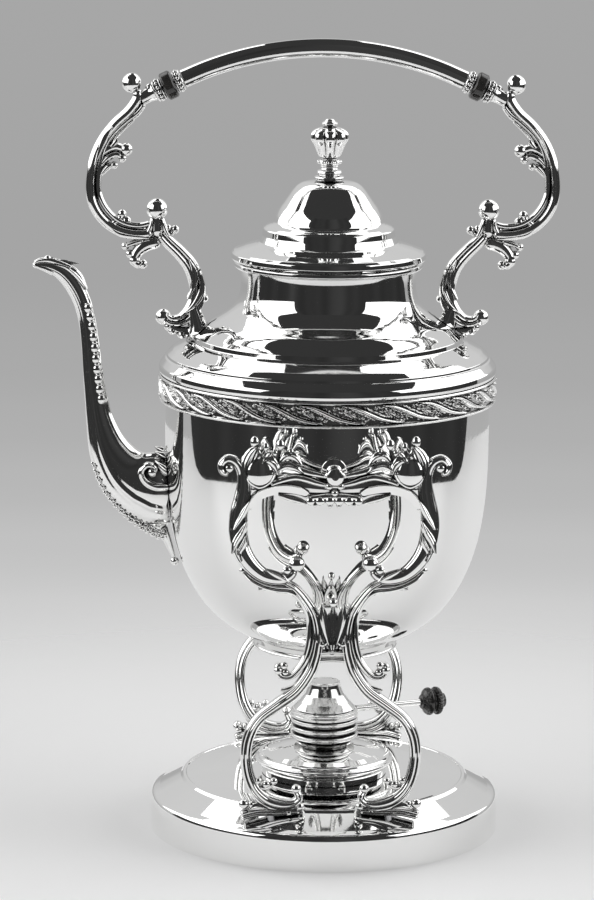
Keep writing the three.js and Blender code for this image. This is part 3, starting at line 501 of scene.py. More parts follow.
def half_lyre(depth):
    """The right arm of the lyre with its arch, dome and leaves, round the tilt axis."""
    beads = [(10, -10.9, 2), (6, -10.8, 2.2), (1.9, -10.7, 2.2), (1.8, -13, 1.1), (8, -12.6, 1)]
    return joined([
        strands(ARM, RIMMED, depth + 0.6), bar(ARCH, depth, SLANTED), bar(ARCH_EDGE, depth),
        bar(LOWER_LENS, 4), bar(LOWER_RIBBON, 5), bar(UPPER_RIBBON, 4.8), bar(LUMP_RIM, 5.6),
        shifted(bar(CROWN_WEB, 3.4), y=0.9),
        ball((31.2, -1, 1.9), 6.5, (1, 0.52, 1), 36), ball((15.4, -0.6, -38.4), 3.5, (1, 0.9, 0.95), 24),
        ball((43.9, -1, 3.5), 2, around=18), ball((19.4, -1.6, -40.8), 2, around=16),
        ball((37.8, 0, -41.4), 1.6, around=14), *balls(-1, beads, (1, 0.8, 1)), *leaves(2.8, [
            (-2.5, [(36.2, -19, 0.8), (38, -23.6, 3.2), (40.8, -28.4, 3), (42.4, -33.4, 0.8)]),
            (-2.4, [(36.4, -24.6, 0.8), (37.4, -29, 2.6), (39.4, -33.2, 2.2), (38.6, -37, 0.7)]),
            (-2.4, [(35.4, -11, 0.8), (37.4, -15, 2.6), (39.8, -19.4, 2.2), (41.8, -23, 0.7)]),
            (-0.6, [(24.4, -46.4, 0.8), (28.4, -48.6, 2.8), (31.2, -49.6, 1.4)]),
            (-2.4, [(18.4, -46, 0.8), (22, -43.6, 3), (26, -41.6, 2.2), (28, -40.4, 0.7)])])])


def half_crown():
    """The lily over the right arm, its buds and the leaves that run to the knot."""
    buds = [(33.3, 14.7, 2), (28.7, 12.5, 1.5), (22.7, 13.4, 1.9), (25, 10, 1.3), (18.4, 10.4, 1.4),
            (15.4, 7.8, 1.2), (37.6, 7.4, 1.2)]
    return joined([
        bar([(31.6, 8, 2), (30.2, 10.4, 2), (28.9, 12.2, 1.6)], 3),
        bar([(25.4, 4, 2.6), (23.8, 9.4, 2.8), (22.8, 13, 2)], 3.8),
        bar([(36.2, -1, 3), (35.4, 4, 3.2), (34.4, 9, 2.6)], 3.4), *leaves(4.2, [
            (-1.8, [(37, -0.4, 1), (37, 4.8, 4.2), (35, 9.8, 4), (31.6, 13.4, 1)]),
            (-1.6, [(34.2, 5.4, 1), (32, 8.6, 3.4), (31.8, 12, 1)]),
            (-2.1, [(31, 5.4, 1), (27.6, 7, 4), (24.6, 4.6, 3.4), (23.4, 0.8, 1)]),
            (-1.6, [(28.8, 5, 1), (27.8, 8.4, 3), (26, 10.8, 0.8)]),
            (-1.6, [(23.4, 5.6, 1), (20, 9, 3.8), (16.6, 8.2, 3.4), (14, 5, 1)]),
            (-1.4, [(24.8, 1.8, 1), (20.6, 4.4, 3.8), (16.4, 3.6, 2.8), (13, 1.2, 0.8)])]),
        *balls(-1.4, buds, (0.95, 0.95, 1.25))])


def knot():
    """Knot in the middle of the crown, over the tilt axis."""
    lobes = [ball(centre, radius, (1, 0.8, 0.9), 16) for centre, radius in (
        ((2.5, -2, 0.3), 1.8), ((2.3, -2.2, -4.3), 1.7))]
    return joined([
        bar([(-5.2, -0.4, 2), (0, 0.2, 3.6), (5.2, -0.4, 2)], 5.4),
        bar([(-4.6, -4.6, 2), (0, -4.2, 3.4), (4.6, -4.6, 2)], 5.8),
        bar([(-11, -9.6, 2.4), (0, -9, 3.8), (11, -9.6, 2.4)], 4),
        ball((0, -2.2, -2.2), 1.6, around=16), ball((0, -2, -7.2), 1.5, around=16),
        both(joined(lobes))])


def palmette():
    """Fan of leaves at the waist with its ball, and the bars that bridge the legs below it."""
    half_fan = joined([
        leaf([(1.4, 75, 1), (2.6, 81, 3.2), (3.8, 87, 3.8), (4.6, 93.4, 0.8)], 3.6, -1.8),
        leaf([(3.2, 74, 1), (5, 80, 2.8), (6.8, 86.6, 2.6), (9, 92, 0.7)], 3.2, -1.2),
        bar([(1.6, 76.6, 1.4), (4.4, 75, 2.8), (7.4, 77.4, 1.2)], 4.6)])
    return joined([
        ball((0, -2.4, 94), 2), leaf([(0, 73, 1.6), (0, 80, 4), (0, 87, 3.4), (0, 93, 1)], 4, -1.6),
        both(half_fan), bar([(-6, 71.4, 2), (0, 71.8, 2.3), (6, 71.4, 2)], 4),
        bar([(-6.6, 67.8, 1.8), (0, 68.2, 2.1), (6.6, 67.8, 1.8)], 3.8),
        shifted(bar([(0, 70, 5), (0, 80, 8), (0, 90, 3)], 2.4), y=0.8)])


def feet():
    """Pads, curls and leaves where the legs stand on the base."""
    pad = [(38, -2, 4.4), (30, -0.2, 4.4), (22, -0.2, 4), (13, 0.4, 3.4)]
    drops = [(30.6, 14, 1.6), (27.2, 12.4, 1.8), (24, 13.8, 1.6), (33.4, 3.2, 1.6), (17.4, -0.6, 1.5)]
    half = joined([
        ball((36.6, -1, 3.4), 2.3), ball((12.8, -0.6, 2), 1.9, around=16),
        bar([(31.4, 11.6, 2), (27.4, 10.6, 2.6), (24.2, 12.6, 2)], 3.2), *balls(-1, drops, around=14),
        leaf([(35, 1, 1), (31, 2.6, 3.4), (26.6, 1.6, 1)], 3, -2)])
    pads = [strands([(side * x, z, width) for x, z, width in pad], TWO_STRANDS, 5.4) for side in (-1, 1)]
    return joined([both(half), *pads])


def bracket():
    """The front bracket with its face towards -Y, leant outwards from the base to the tilt axis."""
    depth, seam_slope = 5.2, 0.47
    lyre = shifted(joined([both(half_lyre(depth)), both(half_crown()), knot()]), z=PIVOT)
    waist = shifted(joined([palmette(), feet()]), z=PLATEAU)
    points, faces = joined([both(half_legs(depth)), lyre, waist])
    points[:, 1] -= BRACKET_FOOT_DISTANCE + BRACKET_LEAN * (points[:, 2] - PLATEAU)
    floor = PLATEAU + CLEARANCE
    below = floor - seam_slope * np.clip(np.hypot(points[:, 0], points[:, 1]) - PLATEAU_RADIUS, 0, None)
    points[:, 2] = np.where(points[:, 2] < floor, np.maximum(points[:, 2], below), points[:, 2])
    return points, faces


def turned_round(shape):
    """The same shape on the other side of the kettle."""
    return placed(shape, Matrix.Rotation(math.pi, 4, "Z"))


def seat_ring():
    low, top, wide = extent("lamp_seat_ring")
    return spun([
        (wide - 2, low), (wide, low), (wide, top - 0.4, 0.5), (wide - 0.5, top, 0.4),
        (wide - 1.5, top, 0.4), (wide - 2, top - 0.5, 0.3)], 144)


def build_stand():
    piece("stand_base", base_disc(), POLISHED, "stand", "base_disc")
    front = bracket()
    piece("stand_bracket_front", front, BRACKET, "stand", "front_bracket")
    piece("stand_bracket_rear", turned_round(front), BRACKET, "stand", "rear_bracket")
    piece("stand_lamp_seat", seat_ring(), POLISHED, "stand", "lamp_seat_ring")
    for corner in ("front_left", "front_right", "rear_left", "rear_right"):
        node = f"{corner}_screw"
        piece(f"stand_screw_{corner}", screw(*node_box(node)), STEEL, "stand", node)


# Kettle body

BOWL_FULLNESS = 2.75
BOWL_FLAT_RADIUS = 28.5
SHEET = 1.2


def bowl_outline(offset=0.0, steps=44):
    """Outer face of the bowl from its flat bottom up to the seam, moved inwards by an offset."""
    widest = SEAM - 20
    flat = BOWL_FLAT_RADIUS / BOWL_RADIUS
    depth = (widest - BOWL_BOTTOM) / (1 - flat ** BOWL_FULLNESS) ** (1 / BOWL_FULLNESS)
    start = math.asin(flat ** (BOWL_FULLNESS / 2))
    points = []
    for i in range(steps + 1):
        turn = start + (math.pi / 2 - start) * i / steps
        points.append(((BOWL_RADIUS - offset) * math.sin(turn) ** (2 / BOWL_FULLNESS),
                       widest - (depth - offset) * max(math.cos(turn), 0) ** (2 / BOWL_FULLNESS)))
    return points


def bowl():
    outer = [(0, BOWL_BOTTOM), *bowl_outline(), (BOWL_RADIUS, SEAM)]
    inner = [(BOWL_RADIUS - SHEET, SEAM), *reversed(bowl_outline(SHEET, 24)), (0, BOWL_BOTTOM + SHEET)]
    return turned(outer + inner, 224)


def foot_ring():
    radius, top = FOOT_RADIUS, FOOT_TOP - FOOT
    return spun([
        (radius - 2, 0), (radius - 0.3, 0, 0.3), (radius, 0.7, 0.5), (radius - 0.4, 1.4, 0.4),
        (radius - 1.6, 2, 1), (BOWL_FLAT_RADIUS, top), (BOWL_FLAT_RADIUS - 2, top)], 160, FOOT)


def shoulder():
    """Shoulder and neck: a roll over the band, a step, the dome, a ledge, the flare and the neck."""
    outer = [
        (BOWL_RADIUS, SEAM + CLEARANCE), (BOWL_RADIUS, BAND_TOP + 0.2), (72.4, BAND_TOP + 0.3, 0.5),
        (72.8, BAND_TOP + 1.6, 1.4), (72.6, 205.6, 3), (70.2, 208.8, 1.2), (69.4, 209.2, 0.3),
        (69.3, 210.2, 0.5), (66.6, 212.4, 6), (60.4, 215.4, 5), (58, 216.2, 0.6), (57.7, 218.4, 0.6),
        (55.9, 219.5, 2)]
    flare = smooth([(55.9, 219.5), (51.6, 223.2), (47.2, 225.9), (43.8, 228.2), (41, 230.8), (39, 233.8),
                    (38, 237.4), (37.7, 241), (37.8, 244.4), (38.1, 247.4), (38.4, 249.6), (38.4, MOUTH)], 5)
    inside = BOWL_RADIUS - SHEET
    inner = [
        (37.2, MOUTH), (36.5, 243, 4), (36.5, 236.6, 5), (39.8, 229.6, 4), (48, 223.4, 4), (56.4, 217.2, 2),
        (67, 209.6, 3), (71, 205, 2), (inside, 200, 3), (inside, SEAM + CLEARANCE)]
    return turned(rounded(outer, 6) + [tuple(p) for p in flare] + rounded(inner, 4), 224)


def neck_rim():
    low, top, wide = extent("neck_rim")
    return spun([
        (38.7, low), (wide - 0.9, low, 0.4), (wide, low + 0.9, 0.8), (wide, top - 1, 0.8),
        (wide - 0.8, top, 0.5), (38.7, top)], 192)


# Ornament band: a relief over one repeat, laid round the seam

BAND_REPEATS = 26
BAND_RELIEF = 1.75
# Strokes of leaves and scrolls as (points, half width, height share), then dots as (u, v, radius)
STROKES = [
    ([(-0.3, 0.95), (-0.04, 0.86), (0.18, 0.68), (0.4, 0.46), (0.64, 0.25), (0.96, 0.1), (1.2, 0.06)],
     0.12, 1.0),
    ([(0.04, 0.97), (0.26, 0.82), (0.46, 0.6), (0.66, 0.42), (0.9, 0.28), (1.14, 0.22)], 0.035, 0.66),
    ([(0.52, 0.9), (0.68, 0.86), (0.77, 0.76), (0.72, 0.66), (0.63, 0.7)], 0.05, 0.62),
    ([(0.8, 0.56), (0.9, 0.5), (0.98, 0.4), (1.06, 0.33)], 0.05, 0.6)]
DOTS = [(0.86, 0.7, 0.065), (0.96, 0.56, 0.05), (0.16, 0.34, 0.06), (0.06, 0.42, 0.045), (0.3, 0.2, 0.05),
        (0.5, 0.76, 0.045)]
DOT_HEIGHT = 0.85


def relief_height(columns, rows):
    """Height shares of one repeat over a grid, 0 for the ground and 1 for the highest leaf."""
    ratio = 2 * math.pi * BAND_RADIUS / BAND_REPEATS / (BAND_TOP - BAND_BOTTOM)
    u, v = np.meshgrid(np.arange(columns) / columns, np.linspace(0, 1, rows), indexing="ij")
    domes = [(pu, pv, radius, DOT_HEIGHT) for pu, pv, radius in DOTS]
    for stroke, half, rise in STROKES:
        path = smooth(stroke, 8)
        for k, (pu, pv) in enumerate(path):
            width = half * (0.45 + 0.55 * math.sin(math.pi * k / (len(path) - 1)))
            domes.append((pu, pv, width, rise))
    height = np.zeros_like(u)
    for pu, pv, width, rise in domes:
        for shift in (-1, 0, 1):
            apart = np.hypot((u - pu - shift) * ratio, v - pv) / width
            height = np.maximum(height, rise * np.sqrt(np.clip(1 - apart ** 2, 0, None)))
    return height


def ornament_band():
    columns, rows, edge = 48, 34, 1.5
    height = relief_height(columns, rows)
    ground = BAND_RADIUS - BAND_RELIEF
    inside = BOWL_RADIUS + CLEARANCE
    total = columns * BAND_REPEATS
    turns = 2 * math.pi * np.arange(total) / total
    low, high = BAND_BOTTOM + edge, BAND_TOP - edge

    def ring(radii, z):
        return np.stack([radii * np.cos(turns), radii * np.sin(turns), np.full(total, z)], axis=1)

    lower_bead = rounded([(inside, BAND_BOTTOM), (BAND_RADIUS - 0.7, BAND_BOTTOM, 0.5),
                          (BAND_RADIUS, BAND_BOTTOM + 0.8, 0.7), (ground, low)])
    upper_bead = rounded([(ground, high), (BAND_RADIUS, BAND_TOP - 0.8, 0.7),
                          (BAND_RADIUS - 0.7, BAND_TOP, 0.5), (inside, BAND_TOP)])
    rings = [ring(r, z) for r, z in lower_bead]
    rings += [ring(ground + BAND_RELIEF * np.tile(height[:, row], BAND_REPEATS), z)
              for row, z in enumerate(np.linspace(low, high, rows))]
    rings += [ring(r, z) for r, z in upper_bead]
    return loft(rings + rings[:1])


# Spout, with stations (x, z, height of the section)

SPOUT = [
    (-60, 146.4, 43), (-70, 148.6, 39.4), (-79, 151.8, 33), (-87.6, 157.6, 25.2), (-94, 167.6, 18.2),
    (-97.8, 179.6, 12.6), (-99.8, 191, 10), (-101.1, 201.6, 8.9), (-102.1, 213, 8.2), (-103.5, 224.2, 7.7),
    (-105.8, 232.8, 7.7), (-109.6, 240.2, 7.9), (-114.6, 245.4, 7), (-121, 247.9, 4.6), (-127, 248.4, 2.4)]
SPOUT_FULLNESS = 0.45


def spout_depth(height):
    return 0.62 * height + max(0, 9 - height) * 0.35 + 0.9


def spout_side(across):
    """Depth share of the spout's section: a full side with a reed, a groove and an outer band along it."""
    side = 0.94 * max(0.0, 1 - across ** 2) ** SPOUT_FULLNESS
    side += 0.05 * math.exp(-((across + 0.36) / 0.07) ** 2) - 0.05 * math.exp(-((across + 0.5) / 0.07) ** 2)
    return side - 0.03 * math.exp(-((across + 0.24) / 0.06) ** 2)


def spout_body():
    count = 54
    near = moulded_section(spout_side, count)[:count]
    section = near + [(a, -d) for a, d in reversed(near[1:-1])]
    return bar([(x, z, h, spout_depth(h)) for x, z, h in SPOUT], section=section, per_span=8)


def on_spout(shift, place, proud=0.0):
    """A point on the spout's far side; shift runs from -1 outside to 1 inside, place counts stations."""
    per_span, step = 12, 3
    path = smooth(SPOUT, per_span)
    here = place * per_span
    before, (x, z, height), after = (
        np.array([np.interp(at, np.arange(len(path)), column) for column in path.T])
        for at in (here - step, here, here + step))
    tx, tz = (after - before)[:2] / np.linalg.norm((after - before)[:2])
    deep = 0.5 * spout_depth(height) * spout_side(shift) + proud
    return x + tz * shift * height / 2, deep, z - tx * shift * height / 2


def spout_ornament():
    """Flowers along the lower outer edge, a husk chain up the inner side and a scroll at the joint."""
    curl = [(-66, 153.6, 2), (-70, 153.2, 3.4), (-74.6, 153.4, 3.8), (-78.6, 155.8, 3.6), (-80.2, 159.6, 3.2),
            (-78, 162.6, 2.8), (-74.8, 162.2, 2.4), (-74, 159.6, 2)]
    shapes = []
    for side in (-1, 1):
        to_side = np.array([1, side, 1])
        for k in range(15):
            place = 0.75 + 0.215 * k
            shapes.append(blossom(on_spout(-0.84, place) * to_side, 2.3 - 0.055 * k, 0.5 * k))
            shapes.append(ball(on_spout(-0.95, place + 0.1) * to_side, 1.1 - 0.02 * k, around=10))
        for k in range(10):
            shapes.append(ball(on_spout(0.44, 5.9 + 0.41 * k) * to_side, 1.85, (0.95, 0.62, 1.1), 14))
            shapes.append(ball(on_spout(0.5, 6.1 + 0.41 * k, 0.2) * to_side, 1.0, (1.3, 0.8, 0.6), 10))
        shapes.append(shifted(bar(curl, 5.6), y=side * 9.4))
        shapes.append(ball((-75.6, side * 10.8, 159.8), 2, around=16))
        shapes.append(leaf([(-66, 158, 1.6), (-70, 160.4, 3.6), (-74.4, 164.4, 1)], 4.2, side * 9.4))
        shapes.append(leaf([(-66, 163, 1.6), (-70, 165.4, 3.6), (-74.4, 167.8, 1)], 4.2, side * 5.8))
    return joined(shapes)


def spout_tail():
    """The thin leaf and the drop under the joint."""
    tail = [(-70.6, 134, 3, 5), (-69.4, 129, 3.8, 6), (-67.6, 124, 2.8, 4.6), (-66, 119.6, 1.6, 2.4)]
    return joined([bar(tail), ball((-65.8, 0, 118.2), 1.9), ball((-70.4, 0, 128.6), 1.5, around=14)])


def spout_beak():
    """The pouring lip, the crest on top of it and the leaf that points back from it."""
    lip = [(-117, 244.8, 3.6, 5), (-121.6, 246.9, 3, 6), (-126.4, 248.2, 1.6, 4.6)]
    curl = [(-110, 247.4, 1.4), (-114.6, 249, 2.2), (-119.6, 250.4, 2), (-124, 250.2, 1.4),
            (-126.2, 249.2, 1)]
    blade = [(-103.6, 238, 0.8), (-107.4, 243.6, 3.2), (-112.4, 247.6, 2.6), (-117.6, 248.8, 0.8)]
    crest = [(-118, 249.8, 1), (-113.6, 249.4, 2.2), (-110.4, 249, 1.6), (-107.2, 248.8, 0.6)]
    sides = [shifted(bar(curl, 1.8), y=lift) for lift in (-1.8, 1.8)]
    return joined([bar(lip), ball((-120.4, 0, 251), 1.4, (1.1, 1, 1)), ball((-117.6, 0, 250), 1.2), *sides,
                   *leaves(3.4, [(-1.6, blade), (1.6, blade)]), leaf(crest)])


def spout():
    """The whole spout, with points that reach into the bowl pushed back to its outer face."""
    points, faces = joined([spout_body(), spout_ornament(), spout_tail(), spout_beak()])
    outline = np.array(bowl_outline() + [(BOWL_RADIUS, SEAM)])
    wall = np.interp(points[:, 2], outline[:, 1], outline[:, 0]) + CLEARANCE
    radius = np.hypot(points[:, 0], points[:, 1])
    points[:, :2] *= np.where(radius < wall, wall / np.maximum(radius, 1e-6), 1)[:, None]
    return points, faces


def trunnion():
    """Front trunnion: a boss on the bowl, the pin through the saddle and its domed head."""
    end = -node_box("front_trunnion")[0].y
    shape = spun([
        (0, 69.8), (5.5, 69.8), (5.5, 71.4, 0.7), (3.2, 72.2, 0.6), (2.6, 73, 0.3), (2.6, end - 2),
        (3.6, end - 2, 0.2), (3.6, end - 0.9, 0.8), (1.6, end, 1.6), (0, end)], 48)
    return shifted(placed(shape, Matrix.Rotation(math.pi / 2, 4, "X")), z=PIVOT)


def build_kettle():
    piece("kettle_bowl_shell", bowl(), POLISHED, "kettle", "kettle_bowl")
    piece("kettle_foot", foot_ring(), POLISHED, "kettle", "foot_ring")
    piece("kettle_shoulder_shell", shoulder(), POLISHED, "kettle", "kettle_shoulder")
    piece("kettle_neck_rim", neck_rim(), POLISHED, "kettle", "neck_rim")
    piece("kettle_band", ornament_band(), CAST, "kettle", "ornament_band", 60)
    piece("kettle_spout", spout(), CAST, "kettle", "spout", 50)
    front = trunnion()
    piece("kettle_trunnion_front", front, CAST, "kettle", "front_trunnion")
    piece("kettle_trunnion_rear", turned_round(front), CAST, "kettle", "rear_trunnion")


# Handle, drawn round its middle line with heights below the grip's peak

COLLAR_LENGTH = 4
INSULATOR_LENGTH = 4.8
INSULATOR_RADIUS = 6.2
OUTER_STRAND = [
    (79.8, -17.6, 4.4), (79.4, -21.8, 5), (83, -27.4, 5.2), (88.8, -32.8, 5.2), (94, -39.4, 5),
    (97.4, -46.4, 4.8), (99.1, -53.7, 4.7), (99.5, -61, 4.7), (98.1, -67.4, 4.7), (94.9, -72.8, 4.7),
    (90.1, -77, 4.7), (84.4, -79.3, 4.6), (78.2, -80, 4.6), (72.6, -79.4, 4.6)]
INNER_STRAND = [
    (76.4, -23.8, 2.6), (79.6, -28, 3.2), (84, -31.4, 3.2), (89.4, -36.4, 3), (93, -41.8, 2.9),
    (95, -47.4, 2.9), (95.9, -54, 2.9), (96, -61, 2.8), (94.3, -66.4, 2.8), (91.2, -70.9, 2.8),
    (87.2, -74.2, 2.8), (82.6, -75.9, 2.7), (78, -76.2, 2.6), (73.6, -75, 2.4)]
THIN_STRAND = [(80.8, -30.8, 1.3), (84.6, -34, 1.9), (88.2, -37.8, 1.9), (90.6, -42.4, 1.4)]
LOWER_SCROLL = [
    (69.6, -79.4, 5.4), (66, -83.4, 5.8), (60.9, -88.4, 6.2), (56.5, -94, 6.8), (53.9, -101.2, 7.4),
    (54, -108, 7.4), (56.8, -113.6, 6.8), (60.8, -117, 5.8), (65, -117.4, 4.8), (67.8, -115.4, 4)]
LEAF_RIBS = [
    [(96, -47, 2), (92.9, -44.2, 2.8), (88.8, -42.4, 3), (85, -43.6, 2.8)],
    [(95.6, -51, 2), (92.2, -47.4, 2.6), (88.6, -45.8, 2.6), (86.2, -46.8, 2)],
    [(95.4, -54.8, 1.6), (92.4, -51.4, 2.4), (89.8, -49.8, 2)],
    [(91.4, -43.4, 2.6), (89, -40.8, 2.6), (88, -37.8, 1)],
    [(91, -76, 2.6), (87.4, -73.6, 2.6), (86.2, -71.6, 2.2)],
    [(68.4, -80.8, 3), (65.6, -80, 2.2), (63.6, -78.4, 1.8)],
    [(69.4, -83.4, 4.4), (74.3, -84.2, 4.8), (78.2, -86.4, 4.6), (80.6, -90, 3.8), (79.4, -93.2, 3),
     (77, -91.6, 2.4)],
    [(76.6, -82.4, 2.6), (81, -83.8, 2.2), (84.8, -85.2, 1.6)],
    [(66.4, -119.4, 2.4), (62, -121.8, 3.2), (57, -122.6, 4.4), (53, -122.8, 5)]]
LARGE_BALLS = [(81.9, -15.2, 4.3), (71.1, -69.2, 4.7), (68.4, -115.8, 3.5)]
SMALL_BALLS = [
    (74.4, -17.4, 1.9), (84.2, -43.6, 2.8), (86, -47.4, 1.9), (89.4, -50.4, 1.7), (86, -71.4, 2),
    (84.2, -74.4, 2.2), (63.4, -78, 1.9), (80.6, -91.4, 2.5), (77.2, -93, 2.1), (84.6, -85.2, 1.8),
    (50.8, -107.6, 1.9), (66, -120, 2.1), (66.6, -77.6, 1.9), (75.4, -77.8, 2), (82.6, -88.6, 1.9)]
FOOT_BALLS = [(49, -120.6, 1.7), (60.4, -123.4, 2), (64.6, -121.8, 1.8), (47.4, -123.4, 1.5)]
# Leaves of a handle bracket as (how far from its middle, points), the same on its front and its back
SIDE_LEAVES = [
    (2.4, [(90, -33.6, 0.8), (93, -38, 3), (95.6, -44, 2.4), (97.6, -50, 0.7)]),
    (2.2, [(74.6, -81.4, 0.8), (81, -80.6, 2.8), (87.6, -79.4, 2.4), (92, -75.6, 0.7)]),
    (2.6, [(52, -97, 0.8), (51.8, -103.6, 3), (54.6, -109.6, 2.6), (59, -113.6, 0.7)]),
    (2.6, [(57.4, -90.4, 0.8), (55, -96.4, 2.8), (55.4, -102.6, 2.4), (58, -107.6, 0.7)])]
# The shoulder's outer face as (radius, height)
SHOULDER_FACE = [(38.2, 237.6), (39.2, 234.1), (41.2, 231.1), (43.9, 228.5), (47.3, 226.2), (51.7, 223.5),
                 (56, 219.8), (58, 218.8), (58.4, 216.5), (66.6, 212.7), (69.3, 210.5)]


def handle_bracket():
    """Right handle bracket from its collar down to the shoulder."""
    depth = 6.6
    end = 2 * COLLAR_LENGTH + INSULATOR_LENGTH + 3 * CLEARANCE
    root = [(GRIP_HALF_SPAN + d * math.cos(GRIP_END_TURN), -GRIP_ARCH - d * math.sin(GRIP_END_TURN), width)
            for d, width in ((end, 7.4), (end + 2.4, 6.4), (end + 6, 6.6))]
    foot = [(55.6, -112, 6, 6.4), (54, -117.6, 8, 8), (53.4, -122.6, 10, 10), (53.2, -127, 11, 12)]
    return joined([
        bar(root, taper=False), bar(OUTER_STRAND, depth), bar(INNER_STRAND, depth - 1.4),
        bar(THIN_STRAND, depth - 2.4), strands(LOWER_SCROLL, TWO_STRANDS, depth),
        bar([(71, -71, 4), (70.8, -76, 4.8), (70.6, -81.6, 6.6)], depth - 0.4),
        bar([(69, -72.4, 2), (67.8, -77, 2.8), (65.8, -81.4, 2.4)], depth - 0.6),
        bar([(73, -72.4, 2), (74, -77, 2.8), (76, -80.8, 2.4)], depth - 0.6),
        *[bar([(x, z, 1.2 * width) for x, z, width in rib], 4.6) for rib in LEAF_RIBS],
        *balls(0, LARGE_BALLS, around=28), *balls(0, SMALL_BALLS), *balls(0, FOOT_BALLS, (1.1, 1.7, 1)),
        *leaves(2.4, [(side * lift, points) for side in (-1, 1) for lift, points in SIDE_LEAVES]),
        bar(foot, taper=False)])


def above_shoulder(shape, side):
    """Lifts a handle bracket's lowest points to the shoulder's outer face."""
    points, faces = shape
    radius = np.hypot(side * points[:, 0] + HANDLE_MIDDLE, points[:, 1])
    points[:, 2] = np.maximum(points[:, 2], np.interp(radius, *np.transpose(SHOULDER_FACE)) - GRIP_PEAK)
    return points, faces


def in_ring(centre_radius, height, radius, count):
    """Beads in a ring round Z."""
    turns = [2 * math.pi * i / count for i in range(count)]
    return [ball((centre_radius * math.cos(turn), centre_radius * math.sin(turn), height), radius, around=10)
            for turn in turns]


def beaded_collar(low, high):
    """A collar with a ring of beads between two rolls, standing along Z."""
    bore, waist, roll = 1.8, 3.9, 4.7
    core = spun([
        (bore, low), (GRIP_RADIUS, low, 0.2), (roll, low + 0.4, 0.3), (roll, low + 0.9, 0.3),
        (waist, low + 1.1, 0.2), (waist, high - 1.1, 0.2), (roll, high - 0.9, 0.3), (roll, high - 0.4, 0.3),
        (GRIP_RADIUS, high, 0.2), (bore, high)], 48, steps=4)
    return joined([core, *in_ring(4.2, (low + high) / 2, 1.0, 13)])


def insulator(low, high):
    bore, radius = 1.8, INSULATOR_RADIUS
    return spun([
        (bore, low), (radius - 0.7, low, 0.4), (radius, low + 0.7, 0.7), (radius, high - 0.7, 0.7),
        (radius - 0.7, high, 0.4), (bore, high)], 64)


def grip():
    """The arched grip, a tube with a fine seam line along each side."""
    stations = 6
    turns = [(i / stations - 1) * GRIP_END_TURN for i in range(2 * stations + 1)]
    points = [(GRIP_ARC * math.sin(turn), GRIP_ARC * (math.cos(turn) - 1), 2 * GRIP_RADIUS) for turn in turns]
    section = []
    for a, d in round_section(40):
        groove = math.exp(-(a / 0.1) ** 2)
        section.append((a * (1 - 0.06 * groove), d * (1 - 0.05 * groove)))
    return bar(points, section=section, per_span=8, taper=False)


def on_handle(shape, side):
    """Moves a shape of the right half to its place, or turned round for the left."""
    return shifted(shape if side > 0 else turned_round(shape), HANDLE_MIDDLE, 0, GRIP_PEAK)


def on_stack(shape, side):
    """Lays a shape that stands along Z onto the tangent at the grip's end."""
    lean = Matrix.Rotation(math.pi / 2 + GRIP_END_TURN, 4, "Y")
    return on_handle(shifted(placed(shape, lean), GRIP_HALF_SPAN, 0, -GRIP_ARCH), side)


def build_handle():
    piece("handle_grip_tube", on_handle(grip(), 1), POLISHED, "kettle", "handle_grip")
    black = COLLAR_LENGTH + CLEARANCE
    last = black + INSULATOR_LENGTH + CLEARANCE
    end = last + COLLAR_LENGTH
    pin = spun([(0, 1), (1.5, 1, 0.2), (1.5, end - 1, 0.2), (0, end - 1)], 32)
    for side, name in ((-1, "left"), (1, "right")):
        bracket_shape = on_handle(above_shoulder(handle_bracket(), side), side)
        piece(f"handle_{name}_bracket_casting", bracket_shape, CAST, "kettle", f"{name}_handle_bracket", 50)
        for part, shape, look, node in (
                ("grip_collar", beaded_collar(CLEARANCE, COLLAR_LENGTH), CAST, "grip_collar"),
                ("insulator", insulator(black, black + INSULATOR_LENGTH), BLACK, "insulator"),
                ("bracket_collar", beaded_collar(last, end), CAST, "bracket_collar"),
                ("pin", pin, STEEL, "handle_pin")):
            piece(f"handle_{name}_{part}", on_stack(shape, side), look, "kettle", f"{name}_{node}")


# Lid


def lid_shell():
    """Rolled rim, step, ledge and the bell, with heights above the rim's edge."""
    wide, top = LID_RADIUS, LID_TOP - LID_BOTTOM
    outer = [
        (wide - 0.6, 0), (wide, 0.9, 0.6), (wide - 0.2, 2.9, 0.9), (wide - 1.3, 3.9, 0.8),
        (wide - 2.4, 4.2, 0.6), (36, 5.5, 6), (30.8, 6.9, 2), (29.7, 7.6, 0.6), (28.6, 10.4, 3),
        (28.3, 13.4, 1.2), (27, 14.3, 0.8), (24.6, 15.3, 0.8), (23.9, 16, 0.5)]
    bell = smooth([
        (23.7, 16.3), (22.9, 19), (21.4, 21.8), (19.5, 24.5), (17.6, 27.2), (15.7, 29.8), (13.5, 32),
        (10.6, 33.3), (6, top - 0.05), (1.8, top)])
    inner = [
        (1.8, top - SHEET), (7, top - SHEET, 1), (12.6, 30.8, 2), (17.6, 25, 4), (21.6, 18.4, 3),
        (22.6, 14.9, 1), (26.9, 12.6, 1), (27.2, 9, 2), (29, 5.9, 1), (36, 4.2, 4), (wide - 1.2, 2.6, 1),
        (wide - 1.2, 0)]
    return turned(raised(rounded(outer, 6) + [tuple(p) for p in bell] + rounded(inner, 4), LID_BOTTOM), 192)


def bezel():
    low, top, wide = extent("lid_bezel")
    return spun([(wide - 1, low), (wide, low, 0.3), (wide, top), (wide - 1, top)], 128)


